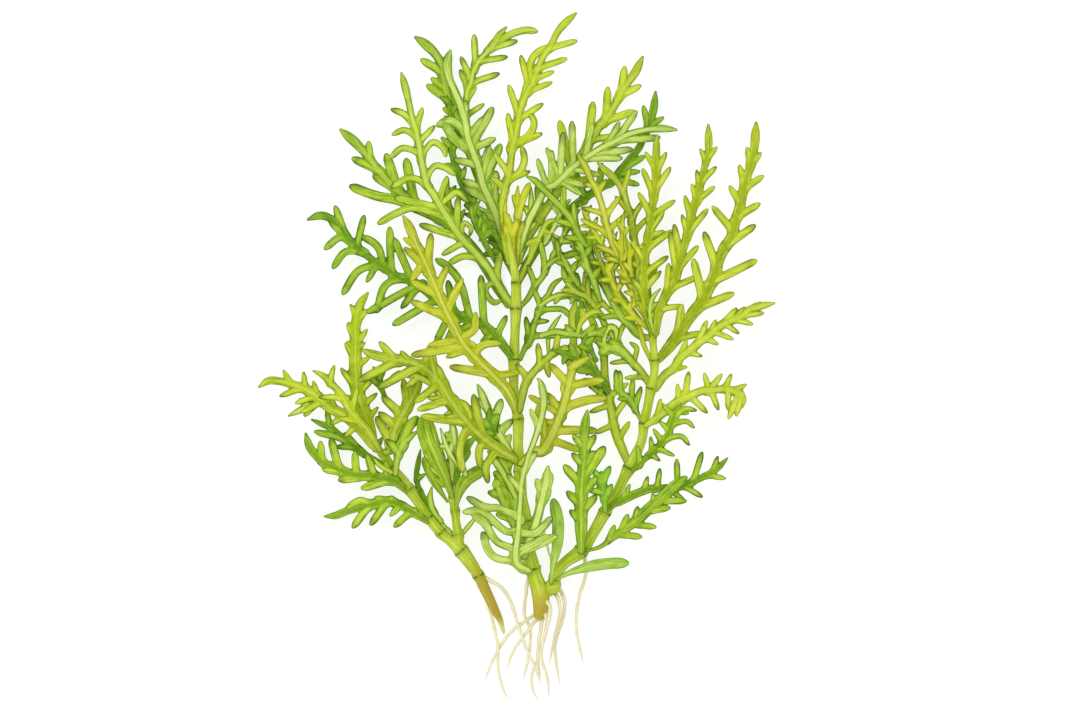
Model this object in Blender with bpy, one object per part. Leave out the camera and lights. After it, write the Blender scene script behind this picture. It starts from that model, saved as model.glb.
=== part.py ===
"""Water wisteria, picked and laid down: four stems, lobed leaves and pale roots, piece by piece.

Metres, +Z up. The plant lies on z = 0 with its shoots towards +Y and its roots towards -Y. The outlines are
traced in picture points, x to the right and y down; POINT is the real size of one of them. The heights
aren't traced: the pieces are laid down one over another, from the back of the plant to its front, and each
one takes the lowest gently bent course that clears what already lies there.
"""
import bisect
import math

import bmesh
import bpy
import numpy as np

# Driving dimensions, in metres
POINT = 0.0004               # one picture point: the longest leaf, 256 points, is about 100 mm
LEAF_THICKNESS = 0.0007
CLEARANCE = 0.0004           # air between a piece and what it lies on
TOUCHING_GAP = 0.0003        # air at a fork, where two pieces meet
RIB_WIDTH_FOOT = 0.0036      # a leaf's middle strip at its stalk
RIB_WIDTH_TIP = 0.0026
LOBE_WIDTH = 0.0028
LONG_LOBE = 0.0055           # a lobe longer than this has a blunt tip
LOBE_TAPER = 0.75            # a lobe's width at its tip, as a share of its width at the midrib
ROOT_WIDTH = 0.0015
ROOT_STEP = 0.005            # between the bends of a root
BARE_EDGE = 0.008            # a midrib's edge bends at least this often
STALK = 0.002                # bare length of midrib below the first lobe
SINUS = 0.0004               # least width of the notch between two lobes

# How the pieces lie
CELL = 0.001                 # the pile's grid
SPREAD = 0.0026              # a piece clears everything this near to it
SMOOTHING = 4                # times that a sheet is averaged with its neighbours
LEAF_SLOPE = 0.42            # steepest course of a leaf over what it lies on
STALK_SLOPE = 1.1            # and of its stalk, down to the stem
STEM_SLOPE = 0.10
ROOT_SLOPE = 0.45
KEEL = 0.16                  # how much a leaf's sides rise from its midrib

# When two sides of an outline count as parallel, and how near their ends count as touching
PARALLEL = 1e-15
TOUCH = 0.02

# The point of the picture that the plant's own origin lies under
CENTRE_X = 516.965
CENTRE_Y = 356.61
PILE_HALF_X = 0.125
PILE_HALF_Y = 0.150

COLOURS = {
    "fresh": (0.42, 0.60, 0.05),
    "pale": (0.52, 0.70, 0.20),
    "mid": (0.26, 0.45, 0.04),
    "dark": (0.10, 0.29, 0.03),
    "yellow": (0.60, 0.62, 0.02),
    "olive": (0.45, 0.52, 0.07),
    "root": (0.88, 0.83, 0.60),
}

# Stems: colour, then x, y and width in picture points from the foot to the tip
STEMS = {
    "centre_stem": ("olive", "540,620,13 541,603,16 540,592,17 534,574,14 532,568,18 530,554,12 527,536,11 "
                             "526,521,13 522,497,10 520,471,12 518,445,10 518,420,11 514,390,9 514,359,11 "
                             "515,334,9 516,309,11 516,283,9 514,268,8 510,248,6 508,232,4"),
    "right_stem": ("olive", "545,594,11 553,586,13 556,574,12 566,562,11 581,551,14 592,535,11 605,512,12 "
                            "615,496,10 623,480,10 629,468,12 641,442,9 644,423,10 648,404,9 651,388,10 "
                            "654,373,8 654,360,9 653,346,7 652,336,8"),
    "left_stem": ("olive", "503,630,9 500,618,12 495,604,13 490,594,14 480,577,13 470,563,13 461,551,14 "
                           "450,541,10 441,533,11 429,518,11 418,503,9 408,488,11 395,472,10 386,459,9 "
                           "378,449,8"),
    "side_stem": ("fresh", "462,553,10 459,544,10 458,535,11 456,522,8 455,511,9 453,503,8 450,494,6"),
}
FORKS = {"right_stem": "centre_stem", "side_stem": "left_stem"}

# Roots: the stem that each one grows from, then its course in picture points
ROOTS = {
    "root_behind": ("centre_stem", "528,552 541,536 543,528 546,541 551,562 553,571"),
    "root_left_of_foot": ("centre_stem", "534,570 528,580 526,596 524,615 530,631 530,649 523,681"),
    "root_right_node": ("right_stem", "582,551 585,560 586,576 580,594 577,614 577,635 580,650 584,665"),
    "root_right_long": ("right_stem", "554,588 561,592 565,604 562,622 556,643 556,664 560,685"),
    "root_right_short": ("right_stem", "551,590 558,598 560,612 557,628 554,644 549,664"),
    "root_foot_left_far": ("centre_stem", "541,612 531,618 515,629 502,645 492,662 485,681"),
    "root_foot_left_near": ("centre_stem", "541,615 533,624 523,638 513,653 506,670"),
    "root_foot_middle": ("centre_stem", "541,617 541,626 539,643 538,662 540,684"),
    "root_foot_right": ("centre_stem", "543,610 547,622 545,636 539,654 533,672 532,687 537,702"),
    "root_foot_outer": ("centre_stem", "543,600 550,606 549,620 543,640 542,658 547,677 549,699"),
    "root_left_outer": ("left_stem", "482,577 478,584 485,599 492,620 497,643 498,668 502,687 507,701"),
    "root_left_inner": ("left_stem", "480,576 490,581 502,589 512,605 518,626 525,645 533,662 540,683"),
}

# Leaves: colour, how far the leaf arches up in millimetres, its midrib from the stalk to the tip,
# and its lobes, each from the midrib to its own tip
LEAVES_UNDER_STEMS = {
    "centre_leaf_back_tall": ("mid", 2,
        "508,246 497,215 484,188 473,160 462,128 451,106 443,75 435,53 415,36",
        "440,74 422,59; 443,88 432,78; 448,101 428,85; 455,114 444,108"),
    "centre_leaf_forked": ("fresh", 2, "505,236 484,190 471,144 466,104 471,81 478,61 494,43 508,25",
        "491,50 516,40; 480,62 506,56; 472,83 498,73; 474,115 483,104; 494,43 536,30; 473,65 474,35; "
        "468,81 462,58"),
    "centre_leaf_left_behind": ("fresh", 2, "508,304 478,255 450,226 420,207 396,189 375,166 340,129",
        "371,158 368,142; 376,172 355,159; 401,189 386,155; 421,195 406,160; 441,218 398,203 351,186"),
    "centre_leaf_pale_tall": ("pale", 3, "514,268 505,245 495,212 483,185 474,155 465,121 455,92 450,50",
        "466,136 438,125; 466,143 445,121; 472,156 449,136; 475,167 456,161; 482,189 463,182; "
        "485,203 465,189; 494,220 466,205; 496,231 481,221; 474,137 484,119; 485,142 492,110; "
        "481,182 490,148; 486,185 500,146; 494,208 496,173"),
    "centre_leaf_dark_high": ("dark", 2, "517,284 533,254 560,218 590,194 611,183 631,157 646,131 656,91",
        "644,124 644,106; 654,130 663,117; 623,170 644,156; 615,179 639,184"),
    "centre_leaf_yellow_high": ("yellow", 3, "514,268 528,236 552,200 585,149 608,116 623,89 643,56",
        "620,94 625,67; 603,118 608,88; 582,141 593,103; 569,171 560,138; 622,98 640,85; "
        "606,126 633,111"),
    "centre_leaf_right_pale": ("pale", 4, "514,268 520,247 530,218 545,189 571,169 601,148 644,130 677,129",
        "615,139 636,112; 603,139 619,123; 581,154 592,125; 569,164 572,123; 556,179 563,134; "
        "547,176 552,154; 543,181 538,162; 615,141 659,138; 590,157 630,150; 575,172 599,175; "
        "562,181 586,187"),
    "centre_leaf_twisted": ("yellow", 5, "509,262 503,218 505,189 512,149 521,107 533,81 550,46 576,12",
        "551,48 576,40; 541,69 566,58; 542,83 553,71; 535,95 551,82; 521,121 542,104; "
        "518,149 541,134; 511,182 529,172; 540,68 545,46; 523,85 521,56; 518,101 509,87; "
        "511,140 507,116; 505,174 495,155"),
    "centre_leaf_left_tall": ("fresh", 4, "516,309 498,285 465,242 449,220 434,195 424,173 412,118 401,72",
        "411,129 392,109; 415,140 393,134; 418,155 391,156; 427,186 392,187; 438,214 396,198; "
        "441,222 401,214 379,223; 461,238 421,225; 464,243 444,254; 480,262 449,263; 494,283 486,298; "
        "419,130 422,110; 421,142 433,127; 423,158 445,156; 430,181 455,174; 444,204 467,201; "
        "464,228 458,200"),
    "centre_leaf_right_arch": ("mid", 5, "516,307 528,298 543,276 558,258 582,255 592,266",
        "545,268 540,244; 560,257 556,240; 570,255 590,245"),
    "centre_leaf_right_short": ("mid", 4, "514,359 525,348 535,322 548,295 564,277",
        "550,301 570,296; 545,313 570,316; 534,338 570,335; 541,309 534,290"),
    "right_leaf_inner_low": ("yellow", 4, "630,468 622,448 612,413 605,377 604,356 594,325 589,310",
        "609,397 588,385; 608,406 591,411; 612,426 597,433; 612,397 627,385; 615,418 626,401; "
        "618,441 629,424"),
    "right_leaf_inner_high": ("fresh", 5, "651,388 645,377 632,362 619,344 605,325 589,299 575,291 562,264",
        "636,358 631,376; 626,366 612,362; 616,332 626,318"),
    "right_leaf_inner_long": ("mid", 3, "652,338 631,326 608,291 589,253 571,219 553,199 535,181 522,172",
        "604,282 588,276; 594,264 576,258; 582,240 564,238; 574,225 557,222; 608,291 606,270; "
        "589,253 590,232; 576,229 574,205"),
    "right_leaf_dark": ("dark", 3, "652,335 645,270 636,245 631,216 615,179 598,163",
        "627,188 630,170; 633,219 643,202; 639,232 648,218; 628,213 616,198"),
    "right_leaf_orange": ("yellow", 4, "653,337 645,314 635,281 618,254 608,229 601,203 591,180 578,155",
        "605,219 619,198; 610,231 628,213; 601,216 583,208; 609,235 582,220; 616,257 595,245"),
    "right_leaf_upright": ("fresh", 4, "654,336 646,304 644,271 648,238 652,211 656,175 657,135",
        "655,171 646,154; 653,196 643,171; 651,217 639,194; 659,173 666,153; 658,193 670,168; "
        "654,218 674,201; 651,238 663,232; 650,252 671,231; 646,275 667,257; 646,290 660,281"),
    "right_leaf_upper": ("fresh", 4, "654,336 664,298 676,273 685,243 693,211 700,186 706,162 709,124",
        "706,161 701,149; 702,188 697,171; 697,201 692,185; 692,221 685,198; 686,234 682,217; "
        "680,258 674,226; 710,160 717,148; 704,183 716,168; 700,205 714,187; 690,234 707,210; "
        "680,272 697,247; 675,294 699,276"),
    "right_leaf_outer": ("fresh", 4, "655,360 674,341 696,309 715,271 732,234 745,184 757,122",
        "750,165 747,148; 745,185 740,167; 739,205 730,188; 729,232 713,209; 715,268 704,235; "
        "701,300 693,262; 678,338 680,307; 752,165 761,155; 747,190 762,177; 737,218 758,205; "
        "728,248 753,227; 716,284 754,262; 700,312 731,295; 680,342 700,333"),
    "right_leaf_level": ("olive", 3, "652,389 664,376 689,351 708,336 740,317 775,303",
        "744,314 760,298; 720,327 736,310; 696,344 708,322; 677,360 684,338; 735,320 762,316; "
        "720,330 738,333; 705,340 724,344; 688,353 706,355; 673,369 686,368"),
    "left_leaf_upright": ("mid", 4, "386,459 365,416 356,386 355,350 356,315 367,293",
        "357,390 341,369; 355,350 346,338; 356,330 366,318; 356,372 368,360; 362,408 374,392"),
    "left_leaf_dark": ("dark", 2, "395,472 365,455 345,440 330,428 311,420",
        "350,443 315,432; 330,428 328,412; 362,453 338,448"),
    "side_leaf_blade": ("mid", 2, "449,500 436,486 427,468 419,451",
        ""),
}
LEAVES_OVER_STEMS = {
    "left_leaf_lowest": ("fresh", 4, "428,519 415,515 401,506 386,503 370,506 348,513 325,518",
        "373,506 355,527; 388,503 372,524; 408,511 395,525; 358,511 352,500"),
    "left_leaf_low": ("mid", 4, "407,489 394,481 379,477 351,474 324,463 305,434",
        "328,465 320,443; 345,473 332,441; 362,475 356,450; 378,477 368,456; 340,472 325,472; "
        "360,476 342,481; 385,479 364,489"),
    "left_leaf_middle": ("fresh", 4, "378,449 365,434 344,415 315,395 290,384 258,388",
        "290,384 284,371; 310,392 305,373; 316,395 280,397; 322,401 298,405; 352,425 332,423; "
        "365,436 345,435; 365,434 368,410"),
    "left_leaf_yellow": ("yellow", 5, "380,449 368,430 352,412 330,382 313,371",
        "352,412 358,390; 342,400 320,396; 330,382 335,366"),
    "left_leaf_inner": ("fresh", 5, "387,452 395,431 402,416 410,402 417,388 420,370",
        "402,416 384,398; 408,405 404,382; 400,422 412,418 418,416; 392,440 414,431; 391,444 374,418"),
    "side_leaf_broad": ("mid", 5, "452,497 447,482 438,460 430,440 424,418",
        "440,466 427,447; 445,478 432,462; 436,455 446,440"),
    "side_leaf_right": ("pale", 4, "456,508 461,490 468,477 482,468",
        ""),
    "centre_leaf_dark_left": ("dark", 4, "512,358 490,330 455,315 415,283 370,258 340,225 307,217",
        "347,235 334,207; 358,245 364,217; 380,262 363,237; 395,268 391,230; 413,280 395,240; "
        "486,322 479,293; 357,242 325,248; 362,252 334,266; 380,265 343,292; 400,278 377,310; "
        "420,287 403,306; 435,303 395,323; 455,317 436,342; 475,322 457,334"),
    "centre_leaf_low_left": ("mid", 5, "518,462 500,450 480,435 462,415 440,382 410,362 363,350",
        "397,361 381,343; 453,400 439,368; 470,430 457,401; 483,437 475,396; 425,372 431,346; "
        "420,369 381,386; 441,384 417,402; 468,423 424,416; 480,435 472,462"),
    "centre_leaf_yellow_left": ("yellow", 6, "516,412 508,392 478,360 455,328 435,285 415,240 404,217",
        "418,248 405,240; 425,272 406,254; 435,300 412,286; 445,322 413,306; 460,350 414,353; "
        "490,377 453,366; 428,268 431,235; 440,290 446,268; 447,312 461,280; 460,338 475,314; "
        "475,355 500,343; 495,377 519,372"),
    "centre_leaf_arch_right": ("olive", 7, "520,410 525,385 540,365 555,352 575,350 590,362 600,377",
        "528,380 518,366; 540,365 538,346; 575,350 590,346; 566,350 568,366"),
    "centre_leaf_yellow_right": ("yellow", 6, "521,463 534,452 552,434 559,418 568,388 576,362",
        "560,434 594,431; 556,444 579,450; 570,412 605,398; 573,386 601,381; 566,386 551,366; "
        "560,412 545,392; 553,425 531,397"),
    "right_leaf_drooping": ("yellow", 6, "646,425 666,410 689,396 712,390 733,391 743,405",
        "678,399 677,386; 690,396 690,374; 708,391 721,376; 724,390 731,376; 733,391 745,384; "
        "691,398 705,412; 711,393 717,410; 727,392 728,410"),
    "right_leaf_curled": ("dark", 5, "631,470 644,459 656,448 666,436 671,423 675,407",
        "674,414 662,405; 668,431 659,422; 660,442 654,430; 650,452 650,438; 675,424 694,425; "
        "667,437 687,443; 657,449 673,455"),
    "right_leaf_low": ("mid", 3, "606,511 622,500 639,492 676,487 706,475 727,458",
        "643,491 647,477; 657,489 659,470; 675,487 676,461; 692,482 701,454; 706,476 724,478; "
        "680,487 700,496; 667,489 684,500"),
    "right_leaf_low_toothed": ("fresh", 5, "583,551 599,547 612,538 637,519 648,505 685,477",
        "608,541 614,526; 624,529 626,516; 636,519 638,506; 620,535 638,535; 632,523 653,523"),
    "right_leaf_toothed": ("fresh", 8, "581,550 581,534 581,515 582,477 584,438 587,411",
        "581,486 565,467; 583,463 573,454; 581,507 568,493; 581,521 571,512; 584,448 574,436; "
        "584,452 594,437; 583,480 603,448; 581,512 595,496"),
    "right_leaf_blade_level": ("pale", 2, "556,579 576,570 594,564 615,561 628,563",
        ""),
    "right_leaf_blade_upright": ("mid", 4, "551,583 553,564 557,545 558,524 554,501",
        ""),
    "centre_leaf_front": ("pale", 6, "528,570 516,560 518,534 520,505 522,480 535,438 544,400 538,381",
        "539,426 531,411; 519,514 497,512 470,500; 519,532 494,524 465,511; 516,546 498,540 482,522; "
        "515,560 494,553 484,533; 519,532 536,530 550,518; 516,555 538,549 554,539"),
}
BROAD_LEAVES = {
    "side_leaf_broad": 0.0068,
    "side_leaf_blade": 0.0046,
    "side_leaf_right": 0.0046,
    "right_leaf_blade_level": 0.0046,
    "right_leaf_blade_upright": 0.0044,
    "right_leaf_toothed": 0.0042,
    "right_leaf_low_toothed": 0.0040,
}


def trace(text):
    """Picture points "x,y x,y" as plan points in metres, and a third column as a width in metres."""
    points = np.array([[float(value) for value in point.split(",")] for point in text.split()])
    points[:, 0] = (points[:, 0] - CENTRE_X) * POINT
    points[:, 1] = (CENTRE_Y - points[:, 1]) * POINT
    if points.shape[1] == 3:
        points[:, 2] *= POINT
    return points


def smooth_course(points, spacing):
    """A Catmull-Rom curve through the points, with a point about every spacing metres."""
    ends = np.vstack([2 * points[0] - points[1], points, 2 * points[-1] - points[-2]])
    pieces = []
    for a, b, c, d in zip(ends, ends[1:], ends[2:], ends[3:]):
        steps = max(1, round(float(np.hypot(*(c - b)[:2])) / spacing))
        t = (np.arange(steps) / steps)[:, None]
        pieces.append(0.5 * (2 * b + (c - a) * t + (2 * a - 5 * b + 4 * c - d) * t ** 2
                             + (3 * b - 3 * c + d - a) * t ** 3))
    return np.vstack(pieces + [points[-1:]])


def arc_lengths(course):
    steps = np.hypot(*np.diff(course[:, :2], axis=0).T)
    return np.concatenate([[0.0], np.cumsum(steps)])


class Pile:
    """The height of what is already laid down, over a grid of squares on the resting surface."""

    def __init__(self):
        x = np.arange(-PILE_HALF_X, PILE_HALF_X, CELL)
        y = np.arange(-PILE_HALF_Y, PILE_HALF_Y, CELL)
        self.grid_x, self.grid_y = np.meshgrid(x, y)
        self.top = np.zeros(self.grid_x.shape)

    def distance(self, courses):
        """Distance in plan to the nearest edge of the courses, and the place along the first."""
        nearest = np.full(self.top.shape, np.inf)
        along = np.zeros(self.top.shape)
        across = np.full(self.top.shape, np.inf)
        for number, course in enumerate(courses):
            lengths = arc_lengths(course)
            for start, end, here in zip(course, course[1:], lengths):
                run = end[:2] - start[:2]
                length = max(float(np.hypot(*run)), 1e-9)
                t = ((self.grid_x - start[0]) * run[0] + (self.grid_y - start[1]) * run[1]) / length ** 2
                t = np.clip(t, 0.0, 1.0)
                away = np.hypot(self.grid_x - start[0] - t * run[0], self.grid_y - start[1] - t * run[1])
                nearest = np.minimum(nearest, away - 0.5 * (start[2] + t * (end[2] - start[2])))
                if number == 0:
                    closer = away < across
                    along = np.where(closer, here + t * length, along)
                    across = np.minimum(across, away)
        return nearest, along, across

    def course_over(self, distance, slope):
        """The lowest sheet no steeper than slope that clears what lies under a piece, and what it clears."""
        need = np.where(distance < SPREAD, self.top + CLEARANCE * (self.top > 0), -1.0)
        reach = int(round(SPREAD / CELL))
        for _ in range(reach):
            need = neighbour_maximum(need, 0.0)
        sheet = need.copy()
        for _ in range(int(sheet.max() / (slope * CELL)) + 2):
            sheet = neighbour_maximum(sheet, slope * CELL)
        sheet = np.maximum(sheet, 0.0)
        for _ in range(SMOOTHING):
            sheet = neighbour_mean(sheet)
        return np.maximum(sheet, np.where(distance < SPREAD, self.top, 0.0)), need

    def add(self, distance, upper):
        """Raise the pile to a piece's upper side."""
        self.top = np.where(distance < CELL, np.maximum(self.top, upper), self.top)

    def sample(self, sheet, x, y):
        """A sheet's height at plan points, straight between the grid's points."""
        column = (np.asarray(x) + PILE_HALF_X) / CELL
        row = (np.asarray(y) + PILE_HALF_Y) / CELL
        i = np.clip(row.astype(int), 0, sheet.shape[0] - 2)
        j = np.clip(column.astype(int), 0, sheet.shape[1] - 2)
        v = row - i
        u = column - j
        low = sheet[i, j] * (1 - u) + sheet[i, j + 1] * u
        high = sheet[i + 1, j] * (1 - u) + sheet[i + 1, j + 1] * u
        return low * (1 - v) + high * v


def neighbour_shifts(sheet):
    """The sheet moved to each of its eight neighbours, with how far that is in cells."""
    padded = np.pad(sheet, 1, mode="edge")
    rows, columns = sheet.shape
    for i in range(3):
        for j in range(3):
            if (i, j) != (1, 1):
                yield padded[i:i + rows, j:j + columns], math.hypot(i - 1, j - 1)


def neighbour_maximum(sheet, fall):
    """Each square raised to its highest neighbour, less fall for each cell of distance."""
    highest = sheet.copy()
    for shifted, cells in neighbour_shifts(sheet):
        highest = np.maximum(highest, shifted - fall * cells)
    return highest


def neighbour_mean(sheet):
    total = sheet.copy()
    for shifted, _ in neighbour_shifts(sheet):
        total = total + shifted
    return total / 9.0


def material(name, colour):
    made = bpy.data.materials.new(name)
    made.use_nodes = True
    shader = made.node_tree.nodes["Principled BSDF"]
    shader.inputs["Base Color"].default_value = (*colour, 1.0)
    shader.inputs["Roughness"].default_value = 0.5
    shader.inputs["Metallic"].default_value = 0.0
    return made


def add_object(name, data, colour):
    data.materials.append(material(name, COLOURS[colour]))
    made = bpy.data.objects.new(name, data)
    bpy.context.scene.collection.objects.link(made)
    return made


def add_tube(name, course, colour, resolution, extra=0.0):
    """A round tube with capped ends along a course of x, y, z and width, as a mesh that can be cut."""
    data = bpy.data.curves.new(name, "CURVE")
    data.dimensions = "3D"
    data.bevel_depth = 1.0
    data.bevel_resolution = resolution
    data.use_fill_caps = True
    spline = data.splines.new("POLY")
    spline.points.add(len(course) - 1)
    for point, (x, y, z, width) in zip(spline.points, course):
        point.co = (x, y, z, 1.0)
        point.radius = 0.5 * width + extra
    curve = add_object(name + "_curve", data, colour)
    bpy.context.view_layer.update()
    mesh = bpy.data.meshes.new_from_object(curve.evaluated_get(bpy.context.evaluated_depsgraph_get()))
    bpy.data.objects.remove(curve)
    mesh.materials.clear()
    mesh.shade_smooth()
    return add_object(name, mesh, colour)


def lay_stems(pile):
    """All four stems in one gently sloping sheet, so that they meet at their forks."""
    plans = {name: trace(points) for name, (_, points) in STEMS.items()}
    distance, _, _ = pile.distance(list(plans.values()))
    sheet, _ = pile.course_over(distance, STEM_SLOPE)
    courses = {}
    for name, plan in plans.items():
        bottom = pile.sample(sheet, plan[:, 0], plan[:, 1])
        courses[name] = np.column_stack([plan[:, :2], bottom + 0.5 * plan[:, 2], plan[:, 2]])
    return courses


def make_stems(courses):
    """The stems, the forking ones cut by a slightly fatter copy of the stem that they grow from."""
    for name, course in courses.items():
        colour = STEMS[name][0]
        stem = add_tube(name, course, colour, 1)
        if name in FORKS:
            parent = FORKS[name]
            cutter = add_tube(name + "_cutter", courses[parent], colour, 1, extra=TOUCHING_GAP)
            cutter.hide_render = True
            cutter.display_type = "WIRE"
            cut = stem.modifiers.new("fork", "BOOLEAN")
            cut.operation = "DIFFERENCE"
            cut.object = cutter
            cut.solver = "EXACT"


def make_roots(pile, stems):
    """Roots come down from the stem's middle height to the surface, and cross over each other there."""
    for name, (stem, points) in ROOTS.items():
        course = smooth_course(trace(points), CELL)
        width = ROOT_WIDTH * np.linspace(1.1, 0.6, len(course))
        nearest = int(np.hypot(*(stems[stem][:, :2] - course[0]).T).argmin())
        stem_height = stems[stem][nearest, 2]
        distance, along, _ = pile.distance([np.column_stack([course, width])])
        sheet = pile.course_over(distance, ROOT_SLOPE)[0]
        sheet = np.maximum(sheet, stem_height - ROOT_SLOPE * along)
        height = pile.sample(sheet, course[:, 0], course[:, 1]) + 0.5 * width
        course = np.column_stack([course, height, width])
        inside = room_beside(course, stems[stem]) < TOUCHING_GAP
        first = int(np.flatnonzero(inside[:len(course) // 2]).max(initial=-1)) + 1
        course = course[first:]
        bends = np.linspace(0, len(course) - 1, int(arc_lengths(course)[-1] / ROOT_STEP) + 2)
        add_tube(name, course[np.unique(np.round(bends).astype(int))], "root", 0)
        pile.add(distance, sheet + ROOT_WIDTH)


def room_beside(course, stem):
    """How far each point of a round course is from a stem's skin, less the course's own half width."""
    room = np.full(len(course), np.inf)
    for start, end in zip(stem, stem[1:]):
        run = end[:3] - start[:3]
        t = np.clip((course[:, :3] - start[:3]) @ run / (run @ run), 0.0, 1.0)
        away = np.linalg.norm(course[:, :3] - start[:3] - t[:, None] * run, axis=1)
        room = np.minimum(room, away - 0.5 * (start[3] + t * (end[3] - start[3])) - 0.5 * course[:, 3])
    return room


def leaf_courses(name, rib_points, lobe_points):
    """A leaf's midrib and lobes in plan, with their widths."""
    rib = smooth_course(trace(rib_points), 0.001)
    share = arc_lengths(rib) / arc_lengths(rib)[-1]
    foot = BROAD_LEAVES.get(name, RIB_WIDTH_FOOT)
    tip = min(foot, RIB_WIDTH_TIP)
    width = foot + (tip - foot) * share
    if name in BROAD_LEAVES:
        width = tip + (foot - tip) * np.sin(math.pi * share ** 0.8) ** 0.7
    courses = [np.column_stack([rib, width])]
    for lobe in filter(None, (part.strip() for part in lobe_points.split(";"))):
        plan = trace(lobe)
        start = rib[int(np.hypot(*(rib - plan[0]).T).argmin())]
        plan[0] = start
        taper = LOBE_WIDTH * np.linspace(1.0, LOBE_TAPER, len(plan))
        courses.append(np.column_stack([plan, taper]))
    return courses


def leaf_outline(courses):
    """The outline of a leaf with as many of its lobes as lie clear of each other in plan."""
    kept = []
    for lobe in courses[1:]:
        if not crosses_itself(outline_with(courses[0], kept + [lobe])):
            kept.append(lobe)
    return outline_with(courses[0], kept)


def crosses_itself(outline):
    """Whether two sides of a closed outline cross or touch, apart from neighbours, which share a corner."""
    run = np.roll(outline, -1, axis=0) - outline
    between = outline[None, :, :] - outline[:, None, :]
    turn = run[:, None, 0] * run[None, :, 1] - run[:, None, 1] * run[None, :, 0]
    turn = np.where(np.abs(turn) < PARALLEL, PARALLEL, turn)
    here = (between[..., 0] * run[None, :, 1] - between[..., 1] * run[None, :, 0]) / turn
    there = (between[..., 0] * run[:, None, 1] - between[..., 1] * run[:, None, 0]) / turn
    count = len(outline)
    apart = np.abs(np.arange(count)[:, None] - np.arange(count)[None, :])
    neighbours = (apart < 2) | (apart == count - 1)
    meet = (np.abs(here - 0.5) < 0.5 + TOUCH) & (np.abs(there - 0.5) < 0.5 + TOUCH)
    return bool((meet & ~neighbours).any())


def outline_with(rib, lobes):
    """One closed outline: up the midrib's left side round each lobe, round the tip and down the right."""
    lengths = arc_lengths(rib)
    along = np.gradient(rib[:, :2], axis=0)
    along /= np.hypot(*along.T)[:, None]
    left = np.column_stack([-along[:, 1], along[:, 0]])

    def edge(place, side):
        index = min(bisect.bisect_left(lengths, place), len(rib) - 1)
        return rib[index, :2] + side * 0.5 * rib[index, 2] * left[index]

    blunt = 0.5 * rib[-1, 2]
    neck = lengths[-1] - 2.2 * blunt
    sides = {}
    for side in (1, -1):
        placed = []
        for lobe in lobes:
            index = int(np.hypot(*(rib[:, :2] - lobe[0, :2]).T).argmin())
            toward = lobe[-1, :2] - rib[index, :2]
            if np.sign(toward @ left[index]) == side:
                placed.append((lengths[index], lobe))
        placed.sort(key=lambda item: item[0])
        outline = []
        free_from = STALK
        for place, lobe in placed:
            half = 0.55 * lobe[0, 2]
            low = max(place - half, free_from)
            high = low + 2 * half
            if high > neck:
                continue
            outline.extend(edge(bare, side) for bare in bare_places(free_from, low))
            outline.append(edge(low, side))
            outline.extend(lobe_border(lobe, side))
            outline.append(edge(high, side))
            free_from = high + SINUS
        outline.extend(edge(bare, side) for bare in bare_places(free_from, neck))
        sides[side] = outline
    start = [edge(0.0, -1), edge(0.0, 1)]
    tip = rib[-1, :2]
    end = [edge(neck, 1), tip + 0.5 * blunt * left[-1], tip - 0.5 * blunt * left[-1], edge(neck, -1)]
    return np.array(start + sides[1] + end + sides[-1][::-1])


def bare_places(low, high):
    """Places along a midrib between two lobes, where its edge follows its bend."""
    return np.linspace(low, high, int((high - low) / BARE_EDGE) + 2)[1:-1] if high > low else []


def lobe_border(lobe, side):
    """The outline of one lobe beyond the midrib, from its lower edge round its tip to its upper edge."""
    run = lobe[-1, :2] - lobe[-2, :2]
    length = float(np.hypot(*(lobe[-1, :2] - lobe[0, :2])))
    forward = run / max(float(np.hypot(*run)), 1e-9)
    across = np.array([-forward[1], forward[0]]) * side
    tip = lobe[-1, :2]
    if length < LONG_LOBE:
        return [tip]
    half = 0.5 * lobe[-1, 2]
    lower = [tip + half * across]
    upper = [tip - half * across]
    for before, (x, y, width), after in zip(lobe, lobe[1:], lobe[2:]):
        forward = after[:2] - before[:2]
        forward = forward / float(np.hypot(*forward))
        across = np.array([-forward[1], forward[0]]) * side
        lower.insert(-1, np.array([x, y]) + 0.5 * width * across)
        upper.insert(1, np.array([x, y]) - 0.5 * width * across)
    return lower + upper


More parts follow.
